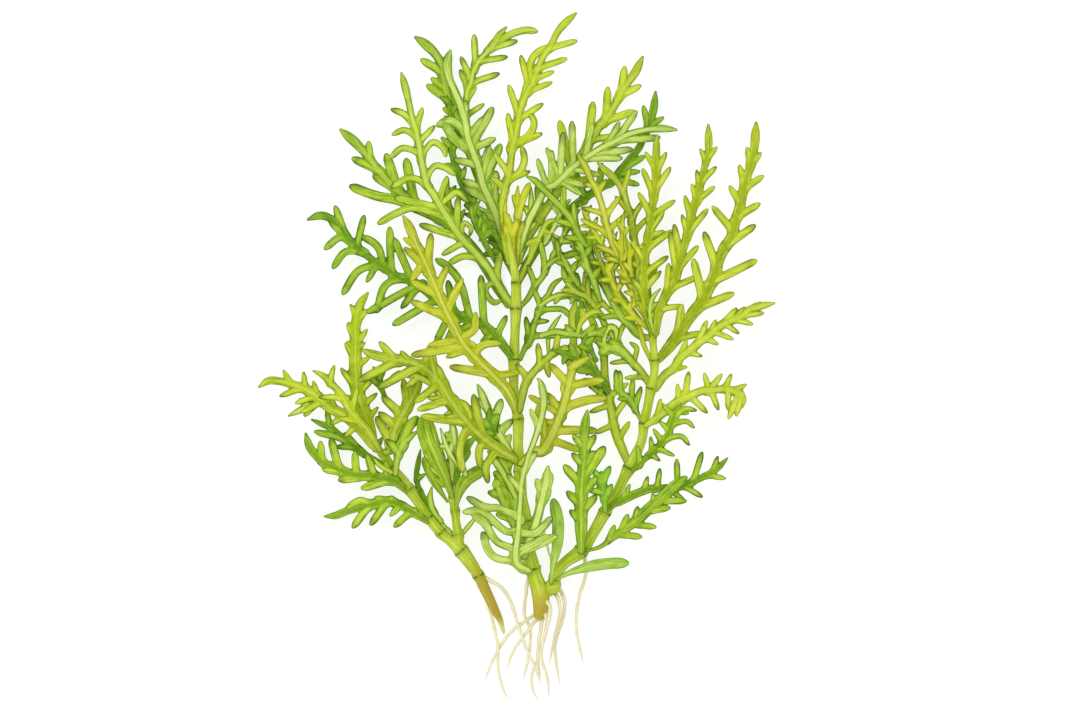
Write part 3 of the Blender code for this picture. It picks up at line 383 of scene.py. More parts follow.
# Young leaves that have no node in the model: colour, fullness, the node whose height each one follows, how
# many millimetres above it, its midrib and its lobes
YOUNG_LEAVES = {
    "young_centre_stalk": ("lime", 0.95, "centre_leaf_right_pale", -0.8,
        "519,283 524,270 530,258 535,247 541,234 548,222 560,220",
        "531,256 533,240; 538,240 523,245; 543,230 552,234"),
    "young_centre_dark": ("dark", 1.35, "centre_leaf_pale_tall", -1.0,
        "514,276 508,263 502,252 494,244 487,241",
        "500,252 485,254; 503,250 497,238"),
    "young_centre_bud": ("amber", 1.25, "centre_leaf_twisted", 1.2,
        "514,262 512,245 510,230 509,215",
        "511,240 504,226; 512,238 517,221; 510,228 505,214"),
    "young_centre_bud_left": ("amber", 0.9, "centre_leaf_twisted", 0.8,
        "513,258 508,242 506,226 505,212 506,200",
        "507,236 502,224"),
    "young_centre_bud_right": ("amber", 1.0, "centre_leaf_right_pale", 1.0,
        "517,262 518,240 518,220 517,200 518,186",
        "518,215 524,196 529,184; 518,235 524,222; 518,205 513,196"),
    "young_centre_upright": ("fresh", 1.0, "centre_leaf_right_pale", -0.6,
        "520,262 524,240 528,222 531,205 531,187",
        "526,232 536,222; 529,214 522,204"),
    "young_dark_high_left": ("dark", 1.0, "centre_leaf_pale_tall", -1.4,
        "505,250 498,225 491,205 484,190 481,172 484,158 490,149",
        "493,212 489,196 489,184; 497,222 499,205 497,193"),
    "young_dark_pair": ("dark", 1.0, "centre_leaf_left_tall", -1.2,
        "508,262 498,240 488,225 480,214 474,205",
        "488,225 478,222; 482,217 484,228 483,240; 492,231 480,240"),
    "young_dark_low": ("dark", 1.1, "centre_leaf_left_tall", -1.0,
        "496,262 486,245 478,228 474,212 480,201",
        "476,222 470,206; 478,228 482,216"),
    "young_behind_toothed": ("mid", 1.8, "centre_leaf_low_left", -1.5,
        "520,522 514,500 508,478 502,458 498,440",
        "508,484 496,473; 511,497 502,487; 505,468 513,455"),
    "young_pale_toothed": ("pale", 1.6, "centre_leaf_front", -1.2,
        "524,556 530,540 536,522 541,502 545,485 548,466",
        "541,500 549,490; 543,492 537,480; 542,497 550,474"),
    "young_left_pale": ("pale", 1.4, "centre_leaf_low_left", -1.0,
        "514,458 504,442 497,430 491,418 486,405 482,394 478,385",
        "493,424 501,401; 499,434 511,421; 504,445 510,436; 486,408 479,400"),
    "young_left_rhombus": ("dark", 1.7, "centre_leaf_low_left", -0.2,
        "496,438 492,426 489,416 490,409",
        "492,427 483,421; 491,424 498,416; 494,434 486,433"),
    "young_left_pale_low": ("pale", 1.2, "centre_leaf_low_left", -1.4,
        "466,474 459,455 455,438 453,424 452,412",
        "456,443 447,433; 457,447 466,434; 454,431 448,441"),
    "young_left_pale_next": ("pale", 1.0, "centre_leaf_low_left", -1.4,
        "462,470 450,452 445,440 441,428",
        "447,446 440,446; 450,452 455,440"),
    "young_right_fork": ("mid", 1.0, "right_leaf_inner_low", 0.3,
        "641,420 635,408 630,399 621,392 615,386",
        "619,388 616,371; 621,391 620,372; 631,400 633,380; 636,408 641,388; 630,399 619,399; "
        "634,406 628,403"),
    "young_right_bright": ("vivid", 1.25, "right_leaf_toothed", -1.0,
        "605,510 603,492 601,480 601,471",
        "602,491 590,490; 602,486 594,470; 602,484 609,467; 603,497 611,485"),
    "young_left_tuft": ("fresh", 1.3, "left_leaf_middle", -0.6,
        "332,401 318,404 305,408 288,416",
        "309,407 300,400; 312,406 305,415"),
    "young_left_dark": ("dark", 1.2, "left_leaf_inner", -1.0,
        "388,402 382,388 378,378 374,367",
        "380,384 371,378; 379,379 385,369"),
    "young_side_dark": ("dark", 0.95, "side_leaf_blade", -0.8,
        "436,516 421,494 416,478 418,462 420,450",
        "420,491 411,489; 417,480 424,475"),
    "young_side_pale": ("pale", 1.3, "side_leaf_broad", -1.2,
        "455,498 453,478 451,455 450,431",
        "453,474 444,460; 452,468 461,452; 451,452 445,443"),
    "young_side_small": ("mid", 1.3, "left_leaf_lowest", 0.5,
        "441,521 433,510 430,498 432,487",
        ""),
    "young_side_fork": ("fresh", 1.1, "side_stem", -0.5,
        "457,541 447,531 438,519 432,503",
        "447,531 437,530"),
    "young_side_right": ("fresh", 1.1, "side_stem", 0.2,
        "460,537 468,527 477,516",
        ""),
    "young_gold_left": ("amber", 0.95, "right_leaf_orange", 0.7,
        "651,326 641,305 632,290 626,275 622,260 621,245 622,231",
        "634,295 625,292; 630,285 634,272; 627,277 617,270; 623,262 629,250; 621,250 614,241; "
        "638,300 632,307; 629,282 620,281"),
    "young_gold_middle": ("amber", 0.95, "right_leaf_orange", 1.2,
        "652,328 645,303 641,284 640,268 636,252 634,238",
        "643,293 634,283; 641,281 648,268; 640,268 631,262; 637,255 643,244; 644,300 637,296; "
        "639,262 647,255"),
    "young_gold_high": ("amber", 0.9, "right_leaf_orange", 1.6,
        "647,318 638,297 633,280 630,264 630,250 626,238",
        "634,285 640,276; 631,270 623,262; 630,256 636,246; 635,290 627,284"),
    "young_lime_high": ("lime", 0.9, "right_leaf_orange", 0.3,
        "640,292 634,272 628,256 624,242 622,226 624,212",
        "630,262 638,254; 627,252 619,246; 623,236 629,227; 623,230 617,222"),
    "young_right_green": ("fresh", 1.0, "right_leaf_upper", -0.6,
        "654,334 650,318 650,306 653,297 660,289",
        "650,310 657,303; 650,318 657,311"),
    "young_right_yellow": ("amber", 1.0, "right_leaf_inner_high", 0.5,
        "652,362 647,352 643,342 641,332 637,320",
        ""),
    "young_curl_broad": ("lime", 1.75, "centre_leaf_right_short", 0.3,
        "574,348 573,332 573,316 576,301",
        ""),
    "young_curl_dark": ("dark", 1.25, "centre_leaf_arch_right", 0.4,
        "584,340 579,328 578,316 581,306 579,299",
        ""),
    "young_curl_arch": ("lime", 1.25, "centre_leaf_arch_right", 1.0,
        "577,336 580,324 586,316 594,312 603,313",
        "585,317 581,310"),
    "young_curl_hook": ("fresh", 1.35, "right_leaf_inner_high", 0.8,
        "604,348 605,334 610,327 616,330 616,341",
        ""),
    "young_curl_band": ("mid", 1.25, "centre_leaf_arch_right", 0.2,
        "541,336 555,332 570,334 585,335 598,333 608,338",
        "585,335 594,326; 572,334 566,326; 598,334 606,328"),
    "young_curl_blade": ("mid", 2.0, "right_leaf_inner_high", 0.4,
        "636,367 627,356 618,349 607,347 597,342",
        "618,349 611,341; 608,347 601,353"),
    "young_curl_small": ("dark", 1.3, "centre_leaf_arch_right", 0.8,
        "596,360 590,350 584,342 587,334",
        "589,349 580,346; 586,344 593,338"),
    "young_dark_long": ("dark", 1.2, "centre_leaf_arch_right", 0.6,
        "612,398 604,385 597,375 588,366 577,359 565,354 553,350",
        "588,366 583,351; 577,359 570,345; 594,372 576,370; 602,383 581,381; 566,355 563,363"),
    "young_olive_low": ("mid", 1.1, "right_leaf_inner_low", 0.6,
        "610,400 602,394 593,388 588,381",
        "600,392 605,384"),
    "young_upright_left": ("fresh", 1.0, "centre_leaf_right_short", -0.8,
        "549,354 548,342 550,332 555,323 561,315",
        ""),
    "young_high_toothed": ("fresh", 1.1, "centre_leaf_right_arch", -0.4,
        "592,316 585,302 577,291 571,281 566,269 562,260",
        "579,293 577,274; 573,285 565,288; 586,304 590,292; 582,298 566,296; 569,276 577,264 590,262"),
    "young_arch_high": ("fresh", 1.0, "centre_leaf_right_short", 0.4,
        "537,309 548,300 560,295 574,295 588,300 598,298",
        "560,295 555,303; 575,295 571,303; 588,300 592,310; 590,300 588,290"),
    "young_dark_cluster": ("mid", 1.2, "right_leaf_dark", -1.0,
        "600,300 594,282 588,268 583,252 578,240 575,228",
        "590,272 582,262; 592,278 600,268; 583,252 575,246; 585,256 592,246; 578,240 586,232"),
    "young_dark_cluster_low": ("olive", 1.2, "right_leaf_inner_long", -0.8,
        "612,312 602,303 594,298 586,285 584,272",
        "596,299 598,288; 590,292 580,286; 603,303 596,308; 586,285 593,276"),
    "young_lime_cluster": ("lime", 1.1, "right_leaf_inner_long", -0.5,
        "606,292 598,276 593,262 590,246 591,232",
        "598,276 606,266; 594,266 586,258; 591,250 598,240; 590,244 583,236"),
    "young_pale_cluster": ("pale", 0.95, "centre_leaf_right_pale", -1.0,
        "540,250 548,238 555,225 561,212 564,198",
        "549,236 560,238; 556,224 567,226; 547,240 545,224; 560,214 552,206; 562,206 570,200"),
    "young_pale_cluster_low": ("fresh", 0.95, "centre_leaf_right_arch", -0.8,
        "546,274 552,258 560,243 566,230 570,215",
        "554,254 566,254; 561,241 573,242; 556,249 552,236; 567,228 577,226; 566,229 560,218"),
    "young_bud_left": ("dark", 1.1, "left_leaf_upright", -0.5,
        "380,456 375,446 371,436",
        "376,448 381,439"),
    "young_dense_left": ("mid", 1.1, "right_leaf_inner_long", -1.2,
        "604,318 590,300 578,284 568,268 560,252",
        "590,300 578,298; 584,292 588,280; 576,281 565,280; 572,272 577,262; 566,264 556,262"),
    "young_dense_middle": ("lime", 1.0, "right_leaf_dark", -1.2,
        "640,320 624,300 612,282 602,264 596,248 592,232",
        "624,300 613,298; 618,290 624,280; 612,282 600,280; 606,270 612,260; 602,264 590,262; 596,248 604,240; "
        "594,240 584,236"),
    "young_dense_gold": ("amber", 1.0, "right_leaf_orange", -0.4,
        "650,330 636,318 624,304 616,290 610,276 606,262",
        "636,318 625,318; 630,310 634,300; 622,300 611,300; 617,291 622,282; 612,280 602,280; 608,270 614,262"),
    "young_dense_upright": ("olive", 1.0, "right_leaf_upright", -1.4,
        "650,322 644,306 640,292 638,276 640,262",
        "644,306 636,302; 641,296 648,288; 639,284 632,278; 638,276 645,268"),
    "young_dense_high": ("mid", 1.0, "right_leaf_inner_long", -0.9,
        "585,262 578,246 574,232 572,218 574,204",
        "580,250 571,246; 576,240 583,232; 573,226 565,220; 572,216 579,210"),
    "young_tall_dark": ("dark", 1.1, "centre_leaf_pale_tall", -1.3,
        "492,240 478,218 468,198 460,178 454,160 450,142",
        "478,218 466,214; 472,206 476,194; 466,194 454,190; 460,180 465,168; 457,170 446,164; 452,150 459,140; "
        "451,146 442,138"),
    "young_tall_dark_high": ("dark", 1.0, "centre_leaf_back_tall", 0.3,
        "470,158 461,140 455,124 450,108 447,94",
        "463,144 453,140; 459,134 465,124; 454,122 445,116; 451,112 457,103; 449,102 441,96"),
    "young_left_arch": ("olive", 1.1, "centre_leaf_low_left", -0.6,
        "486,446 470,428 455,412 444,398 432,384 416,376 400,374",
        "455,412 444,416; 444,398 430,398; 438,390 444,378; 420,377 408,386; 400,374 390,380"),
    "young_stem_dark": ("mid", 1.5, "centre_leaf_low_left", -1.6,
        "522,540 514,524 506,508 500,492 496,478",
        "510,516 498,514; 506,508 511,494; 501,496 490,492; 498,484 505,474"),
    "young_crown_right": ("mid", 1.4, "left_leaf_inner", 0.7,
        "396,473 397,463 399,453 403,445 409,438 418,431",
        "403,445 405,434 410,426 417,418; 399,453 394,446 388,441"),
    "young_crown_arch": ("lime", 1.2, "left_leaf_inner", 0.4,
        "392,472 386,469 379,464 374,457",
        ""),
    "young_side_behind": ("dark", 1.5, "side_leaf_broad", -1.2,
        "452,498 454,482 459,466 464,452 470,442 477,437",
        "464,454 459,442; 461,460 469,452"),
    "young_left_strap": ("fresh", 1.35, "centre_leaf_low_left", -0.8,
        "519,504 512,489 504,474 496,462 488,451",
        ""),
    "young_fill_high": ("lime", 0.85, "right_leaf_orange", -0.8,
        "614,264 605,250 598,238 591,226 585,214 580,204",
        "605,250 595,250; 601,243 605,231; 598,238 587,238; 593,230 597,218; 591,226 581,226; 586,215 591,206"),
    "young_fill_middle": ("mid", 0.9, "right_leaf_orange", -1.0,
        "620,302 615,286 612,270 611,256 613,243 617,232",
        "615,286 607,280; 612,270 620,262; 611,260 603,254; 612,248 620,240"),
    "young_back_fill": ("mid", 1.0, "centre_leaf_left_behind", -0.4,
        "470,250 462,235 456,222 450,208 447,192 448,178",
        "460,230 451,222; 457,224 464,210; 451,210 443,202; 448,196 455,186"),
}

# Plan geometry


def colour_of(red, green, blue):
    """A colour given as it looks on a screen, 0 to 255, as the linear values that a shader takes."""
    shown = np.array([red, green, blue]) / 255.0
    linear = np.where(shown <= 0.04045, shown / 12.92, ((shown + 0.055) / 1.055) ** 2.4)
    return tuple(float(value) for value in linear)


def trace(text):
    """Plan points "x,y x,y" in metres, with a third column, where there is one, as a width in metres."""
    points = np.array([[float(value) for value in point.split(",")] for point in text.split()])
    points[:, 0] = (points[:, 0] - CENTRE_X) * POINT
    points[:, 1] = (CENTRE_Y - points[:, 1]) * POINT
    if points.shape[1] == 3:
        points[:, 2] *= POINT
    return points


def smooth_course(points, spacing):
    """A Catmull-Rom curve through the points: on each span, a cubic whose slope at an end is half the chord
    between that end's neighbours."""
    ends = np.vstack([2 * points[0] - points[1], points, 2 * points[-1] - points[-2]])
    spans = []
    for a, b, c, d in zip(ends, ends[1:], ends[2:], ends[3:]):
        steps = max(2, round(float(np.hypot(*(c - b)[:2])) / spacing))
        t = (np.arange(steps) / steps)[:, None]
        spans.append(0.5 * (2 * b + (c - a) * t + (2 * a - 5 * b + 4 * c - d) * t ** 2
                            + (3 * b - 3 * c + d - a) * t ** 3))
    return np.vstack(spans + [points[-1:]])


def arc_lengths(course):
    steps = np.linalg.norm(np.diff(course[:, :2], axis=0), axis=1)
    return np.concatenate([[0.0], np.cumsum(steps)])


class Limb:
    """A midrib or a lobe: a course in plan with a half width at each of its points."""

    def __init__(self, course, half_width, is_lobe):
        self.course = course
        self.half_width = half_width
        self.is_lobe = is_lobe
        self.place = arc_lengths(course)

    def reach(self, points):
        """For each plan point: its distance beyond the limb's skin, its distance from the limb's middle line
        with a sign for the side, its place along the limb and the limb's half width there."""
        start = self.course[:-1]
        run = np.diff(self.course, axis=0)
        beside = points[:, None, :] - start[None]
        t = np.clip((beside * run).sum(2) / (run * run).sum(1), 0.0, 1.0)
        away = np.linalg.norm(beside - t[..., None] * run, axis=2)
        width = self.half_width[:-1] + t * np.diff(self.half_width)
        nearest = (away - width).argmin(1)
        row = np.arange(len(points))
        turn = run[nearest, 0] * beside[row, nearest, 1] - run[nearest, 1] * beside[row, nearest, 0]
        place = self.place[nearest] + t[row, nearest] * np.diff(self.place)[nearest]
        off = away[row, nearest]
        return np.stack([off - width[row, nearest], np.copysign(off, turn), place, width[row, nearest]])

    def reach_nearby(self, points):
        """The same, worked out only at points near the limb. The others count as far from it."""
        margin = self.half_width.max() + NEARBY
        near = ((points > self.course.min(0) - margin) & (points < self.course.max(0) + margin)).all(1)
        reached = np.tile(np.array([[9.0], [9.0], [0.0], [1.0]]) * MM, len(points))
        reached[:, near] = self.reach(points[near])
        return reached


def leaf_limbs(name, leaf, sizes):
    """The midrib and the lobes. A midrib narrows towards its end, where it swells once more into a pointed
    lobe of its own."""
    _, fullness, rib_text, lobe_text = leaf
    rib = smooth_course(trace(rib_text), 0.8 * MM)
    place = arc_lengths(rib)
    length = place[-1]
    share = place / length
    if name in BLADES:
        wide = 0.5 * BLADES[name] * MM
        rise = np.clip(share / 0.6, 0.0, 1.0)
        half = wide * (0.3 + 0.7 * rise * rise * (3.0 - 2.0 * rise))
        half = half * np.sqrt(np.clip(1.0 - np.clip((share - 0.84) / 0.16, 0.0, 1.0) ** 2, 0.01, 1.0))
    else:
        wider = RIB_SHARES.get(name, 1.0) - 1.0
        size = fullness * np.clip(0.5 + length / (130.0 * MM), 0.55, 1.0)
        half = size * (sizes.rib_foot + (sizes.rib_tip - sizes.rib_foot) * share ** 0.7)
        half = half * (1.0 + wider * np.exp(-((share - 0.45) / 0.32) ** 4))
        to_tip = length - place
        half = half + 0.26 * MM * size * np.exp(-((to_tip - 6.5 * MM) / (3.2 * MM)) ** 2)
        half = half * np.clip(to_tip / (3.6 * MM), 0.12, 1.0) ** 0.42
        stalk = np.clip(place / (9.0 * MM), 0.0, 1.0)
        half = half * (0.68 + 0.32 * stalk * stalk * (3.0 - 2.0 * stalk))
    limbs = [Limb(rib, half, False)]
    for text in filter(None, (part.strip() for part in lobe_text.split(";"))):
        pointed = LOBE_POINTS.get(name, 0.25)
        limbs.append(lobe_limb(trace(text), None if name in BLADES else rib, fullness, pointed, sizes))
    return limbs


def lobe_limb(points, rib, fullness, pointed, sizes):
    """One lobe, from the midrib to its own tip. It starts a little way back along the midrib, so that it
    leaves it at a narrow angle, and flares there. Without a midrib, it is a tooth and starts at its first
    point. A blunt lobe is widest at three quarters of its length, and a pointed one at its foot."""
    reach = float(np.hypot(*(points[-1] - points[0])))
    joint = 0.0
    if rib is not None:
        nearest = int(np.hypot(*(rib - points[0]).T).argmin())
        back = int(round(min(0.32 * reach, 3.2 * MM) / (0.8 * MM)))
        leaving = rib[max(nearest - back, 0)]
        joint = float(np.hypot(*(rib[nearest] - leaving)))
        points = np.vstack([leaving, rib[nearest], points[1:]])
    course = smooth_course(points, 0.8 * MM)
    place = arc_lengths(course)
    length = place[-1]
    wide = sizes.lobe_half_width * fullness * np.clip(0.74 + reach / (32.0 * MM), 0.72, 1.2)
    rise = np.clip(place / (0.78 * length), 0.0, 1.0)
    blunt = 0.78 + 0.32 * rise * rise * (3.0 - 2.0 * rise)
    half = wide * (blunt * (1.0 - pointed) + pointed * (1.34 - 0.78 * place / length))
    half = half + 0.40 * wide * np.exp(-((place - joint) / (2.0 * MM)) ** 2) - 0.45 * wide * np.exp(-place / MM)
    half = half * (1.0 - 0.42 * np.clip(1.0 - (length - place) / (2.0 * MM), 0.0, 1.0) ** 1.5)
    return Limb(course, half, True)


class LeafPlan:
    """All the limbs of a leaf run together: their distances join by the soft minimum -w log(sum exp(-d/w)),
    which rounds the notch between a lobe and the midrib by about the web width w."""

    def __init__(self, limbs, web, rib_share):
        self.limbs = limbs
        self.web = web
        self.rib_share = rib_share

    def field(self, points):
        away = np.stack([limb.reach_nearby(points)[0] for limb in self.limbs]) / -self.web
        top = away.max(0)
        return -self.web * (top + np.log(np.exp(away - top).sum(0)))

    def slope(self, points):
        """The field's slope, from its values a little to each side."""
        step = 0.05 * MM
        across = self.field(points + [step, 0.0]) - self.field(points - [step, 0.0])
        up = self.field(points + [0.0, step]) - self.field(points - [0.0, step])
        return np.column_stack([across, up]) / (2 * step)

    def settle(self, points):
        """Moves points onto the outline, down the field's slope."""
        for _ in range(2):
            slope = self.slope(points)
            steep = np.maximum((slope ** 2).sum(1), 0.2)
            points = points - slope * (self.field(points) / steep)[:, None]
        return points

    def marks(self, points):
        """What the finish needs at each point, shared out among the limbs near it by exp(-d / blend)."""
        reached = [self.limbs[0].reach(points)] + [limb.reach_nearby(points) for limb in self.limbs[1:]]
        beyond, off, place, half = np.stack(reached, axis=1)
        share = np.exp(-(beyond - beyond.min(0)) / (0.45 * MM))
        share /= share.sum(0)
        nearest = beyond.argmin(0)
        row = np.arange(len(points))
        lobe = np.array([float(limb.is_lobe) for limb in self.limbs])[:, None]
        ends = np.array([limb.place[-1] for limb in self.limbs])[:, None]
        return {
            "off": (share * np.abs(off)).sum(0),
            "across": (share * np.abs(off) / half).sum(0),
            "rib": off[0] / (half[0] * self.rib_share),
            "side": off[nearest, row],
            "run": place[nearest, row] + 9.7 * MM * nearest,
            "tip": (share * place / ends).sum(0),
            "lobe": (share * lobe).sum(0),
            "half": (share * half).sum(0),
            "own": share.max(0),
            "foot": np.clip(place[0] / ends[0], 0.0, 1.0),
            "from_foot": place[0],
        }


def outline_mesh(plan, step):
    """Plan points and triangles that fill the field below zero. The plane is cut into squares and each into
    two triangles. Corners close to the outline move onto it, and a triangle that crosses it keeps its inner
    part, up to the points of its sides where the field is zero."""
    every = np.vstack([limb.course for limb in plan.limbs])
    low = every.min(0) - 3.2 * MM
    count = np.ceil((every.max(0) + 3.2 * MM - low) / step).astype(int) + 1
    x, y = np.meshgrid(low[0] + step * np.arange(count[0]), low[1] + step * np.arange(count[1]))
    points = np.column_stack([x.ravel(), y.ravel()])
    height = coarse_field(plan, points)
    near = np.abs(height) < 0.3 * step
    points[near] = plan.settle(points[near])
    height[near] = 0.0
    column, row = np.meshgrid(np.arange(count[0] - 1), np.arange(count[1] - 1))
    corner = (row * count[0] + column).ravel()
    square = np.column_stack([corner, corner + 1, corner + 1 + count[0], corner + count[0]])
    square = square[(height[square] < 0.0).any(1)]
    odd = ((square[:, 0] // count[0] + square[:, 0] % count[0]) % 2 == 1)
    square[odd] = np.roll(square[odd], 1, axis=1)
    triangles = np.vstack([square[:, [0, 1, 2]], square[:, [0, 2, 3]]])
    return cut_at_zero(plan, points, height, triangles)


def coarse_field(plan, points):
    """The field, worked out only at points near a limb; the others count as outside."""
    height = np.full(len(points), 9.0 * MM)
    close = np.zeros(len(points), bool)
    for limb in plan.limbs:
        margin = limb.half_width.max() + 1.2 * MM
        low = limb.course.min(0) - margin
        high = limb.course.max(0) + margin
        close |= ((points > low) & (points < high)).all(1)
    height[close] = plan.field(points[close])
    return height


def cut_at_zero(plan, points, height, triangles):
    """The part of each triangle where the field is not above zero."""
    outside = height[triangles] > 0.0
    count = outside.sum(1)
    whole = triangles[(count == 0) & (height[triangles] < 0.0).any(1)]
    sides = np.vstack([triangles[:, [0, 1]], triangles[:, [1, 2]], triangles[:, [2, 0]]])
    sides = np.unique(np.sort(sides[height[sides[:, 0]] * height[sides[:, 1]] < 0.0], axis=1), axis=0)
    share = height[sides[:, 0]] / (height[sides[:, 0]] - height[sides[:, 1]])
    crossings = points[sides[:, 0]] + share[:, None] * (points[sides[:, 1]] - points[sides[:, 0]])
    keys = sides[:, 0] * len(points) + sides[:, 1]

    def cross(a, b):
        """The point where the side from a to b meets the outline: an end that lies on it, or a new point."""
        low, high = np.minimum(a, b), np.maximum(a, b)
        found = np.searchsorted(keys, low * len(points) + high)
        found = len(points) + np.minimum(found, len(keys) - 1)
        found = np.where(height[a] == 0.0, a, found)
        return np.where(height[b] == 0.0, b, found)

    def turned(rows, first):
        """The triangles, turned so that the corner for which first is true comes first."""
        start = first.argmax(1)
        return np.take_along_axis(rows, (start[:, None] + np.arange(3)) % 3, axis=1)

    a, b, c = turned(triangles[count == 1], outside[count == 1]).T
    ab, ac = cross(a, b), cross(a, c)
    one_out = np.vstack([np.column_stack([ab, b, c]), np.column_stack([ab, c, ac])])
    a, b, c = turned(triangles[count == 2], ~outside[count == 2]).T
    two_out = np.column_stack([a, cross(a, b), cross(a, c)])
    faces = np.vstack([whole, one_out, two_out])
    distinct = (faces[:, 0] != faces[:, 1]) & (faces[:, 1] != faces[:, 2]) & (faces[:, 2] != faces[:, 0])
    faces = faces[distinct]
    used, faces = np.unique(faces, return_inverse=True)
    return np.vstack([points, plan.settle(crossings)])[used], faces.reshape(-1, 3)


def border_sides(faces):
    """The sides that only one triangle has, in that triangle's order."""
    sides = np.vstack([faces[:, [0, 1]], faces[:, [1, 2]], faces[:, [2, 0]]])
    _, index, number = np.unique(np.sort(sides, axis=1), axis=0, return_index=True, return_counts=True)
    return sides[index[number == 1]]


# Heights, from the model's own nodes


def node_points(name):
    """A node's corners, each once."""
    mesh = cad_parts[name].data
    found = np.empty(3 * len(mesh.vertices))
    mesh.vertices.foreach_get("co", found)
    return np.unique(np.round(found.reshape(-1, 3), 7), axis=0)


def height_over(corners, points):
    """The height of a node at plan points: a plane is fitted to its corners round each point, weighted by
    exp(-d^2 / 2s^2), where s grows until about six corners count."""
    result = np.empty(len(points))
    for first in range(0, len(points), 4000):
        block = points[first:first + 4000]
        dx = corners[None, :, 0] - block[:, 0, None]
        dy = corners[None, :, 1] - block[:, 1, None]
        square = dx ** 2 + dy ** 2
        nearby = np.sqrt(np.partition(square, min(7, len(corners) - 1), axis=1)[:, min(7, len(corners) - 1)])
        spread = np.maximum(2.2 * MM, 0.75 * nearby)[:, None]
        weight = np.exp(-0.5 * square / spread ** 2) + 1e-9
        weight /= weight.sum(1, keepdims=True)
        z = corners[None, :, 2]
        mx, my, mz = (weight * dx).sum(1), (weight * dy).sum(1), (weight * z).sum(1)
        hold = (0.6 * MM) ** 2
        xx = (weight * dx * dx).sum(1) - mx * mx + hold
        yy = (weight * dy * dy).sum(1) - my * my + hold
        xy = (weight * dx * dy).sum(1) - mx * my
        xz = (weight * dx * z).sum(1) - mx * mz
        yz = (weight * dy * z).sum(1) - my * mz
        level = xx * yy - xy * xy
        slope_x = (xz * yy - yz * xy) / level
        slope_y = (yz * xx - xz * xy) / level
        result[first:first + 4000] = mz - slope_x * mx - slope_y * my
    return result


# Meshes


def new_piece(name, points, faces, marks, smooth=True):
    """A mesh object at the origin, with its faces and its marks, each a number at every corner."""
    mesh = bpy.data.meshes.new(name)
    mesh.from_pydata([], [], [])
    faces = np.asarray(faces)
    sides = faces.shape[1]
    mesh.vertices.add(len(points))
    mesh.vertices.foreach_set("co", np.asarray(points, np.float32).ravel())
    mesh.loops.add(faces.size)
    mesh.loops.foreach_set("vertex_index", faces.ravel().astype(np.int32))
    mesh.polygons.add(len(faces))
    mesh.polygons.foreach_set("loop_start", np.arange(0, faces.size, sides, dtype=np.int32))
    mesh.polygons.foreach_set("use_smooth", np.full(len(faces), smooth))
    mesh.update(calc_edges=True)
    mesh.validate()
    for mark, values in marks.items():
        made = mesh.attributes.new(mark, "FLOAT", "POINT")
        made.data.foreach_set("value", np.asarray(values, np.float32))
    piece = bpy.data.objects.new(name, mesh)
    bpy.context.scene.collection.objects.link(piece)
    return piece


def leaf_mesh(name, plan, middle_of, sizes):
    """A leaf as a thin body. At a distance d inside its outline its half thickness is t sqrt(1 - (1 - d/w)^2),
    so its edge is round. A ridge exp(-(off / r)^2) runs along the midrib and, lower, along each lobe, and the
    whole leaf waves a little, by the sine of its place. Its foot dips into the stem."""
    points, faces = outline_mesh(plan, sizes.mesh_step)
    inside = np.maximum(-plan.field(points), 0.0)
    border = border_sides(faces)
    on_border = np.unique(border)
    inside[on_border] = 0.0
    marks = plan.marks(points)
    across = np.clip(inside / np.maximum(0.6 * marks["half"], 0.45 * MM), 0.0, 1.0)
    thick = (sizes.leaf_half_thickness * (0.8 + 0.2 * marks["half"] / MM)
             * (1.0 + 0.7 * (1.0 - marks["lobe"]) * (1.0 - marks["foot"])))
    half = thick * np.sqrt(1.0 - (1.0 - across) ** 2) + sizes.rim_half_thickness
    along_rib = np.exp(-(marks["rib"] / 0.32) ** 2) * (1.0 - 0.6 * marks["foot"])
    along_lobe = 0.6 * np.exp(-(marks["off"] / (0.38 * MM)) ** 2) * marks["lobe"] * marks["own"] ** 2
    ridge = sizes.ridge * np.maximum(along_rib, along_lobe) * across
    wave = sizes.wave * np.sin(points[:, 0] / (2.9 * MM) + 1.6 * np.sin(points[:, 1] / (3.7 * MM)))
    into_stem = sizes.foot_sink * np.clip(1.0 - marks["from_foot"] / (3.5 * MM), 0.0, 1.0) ** 1.5
    middle = middle_of(points) + wave - into_stem
    middle = np.maximum(middle, half + sizes.rim_half_thickness)
    top = np.column_stack([points, middle + half + ridge])
    bottom = np.column_stack([points, middle - half])
    count = len(points)
    a, b = border.T
    rim = np.vstack([np.column_stack([b, a, a + count]), np.column_stack([b, a + count, b + count])])
    everything = np.vstack([faces, faces[:, ::-1] + count, rim])
    scaled = {key: marks[key] / MM for key in ("side", "run")}
    both = {"edge": inside / MM, **scaled, **{key: marks[key] for key in FINISH_SHARES}}
    return new_piece(name, np.vstack([top, bottom]), everything,
                     {key: np.concatenate([values, values]) for key, values in both.items()})


def leaf_piece(name, leaf, corners, sizes):
    """A leaf, given as its colour, fullness, midrib and lobes. Its middle lies at the corners' height."""
    corners = corners + [0.0, 0.0, LIFTS.get(name, 0.0) * MM]
    rib_share = BLADE_RIB if name in BLADES else STRIPE_SHARES.get(name, 1.0)
    plan = LeafPlan(leaf_limbs(name, leaf, sizes), sizes.web, rib_share)
    piece = leaf_mesh(name + "_blade", plan, lambda points: height_over(corners, points), sizes)
    piece.data.materials.append(bpy.data.materials["painted_" + leaf[0]])
    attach(piece, "root")
    return piece


# Stems and roots


def flat_frame(course):
    """The sideways direction at each point of a course, level with the resting surface."""
    along = np.gradient(course[:, :2], axis=0)
    along /= np.linalg.norm(along, axis=1)[:, None]
    return np.column_stack([-along[:, 1], along[:, 0], np.zeros(len(along))])


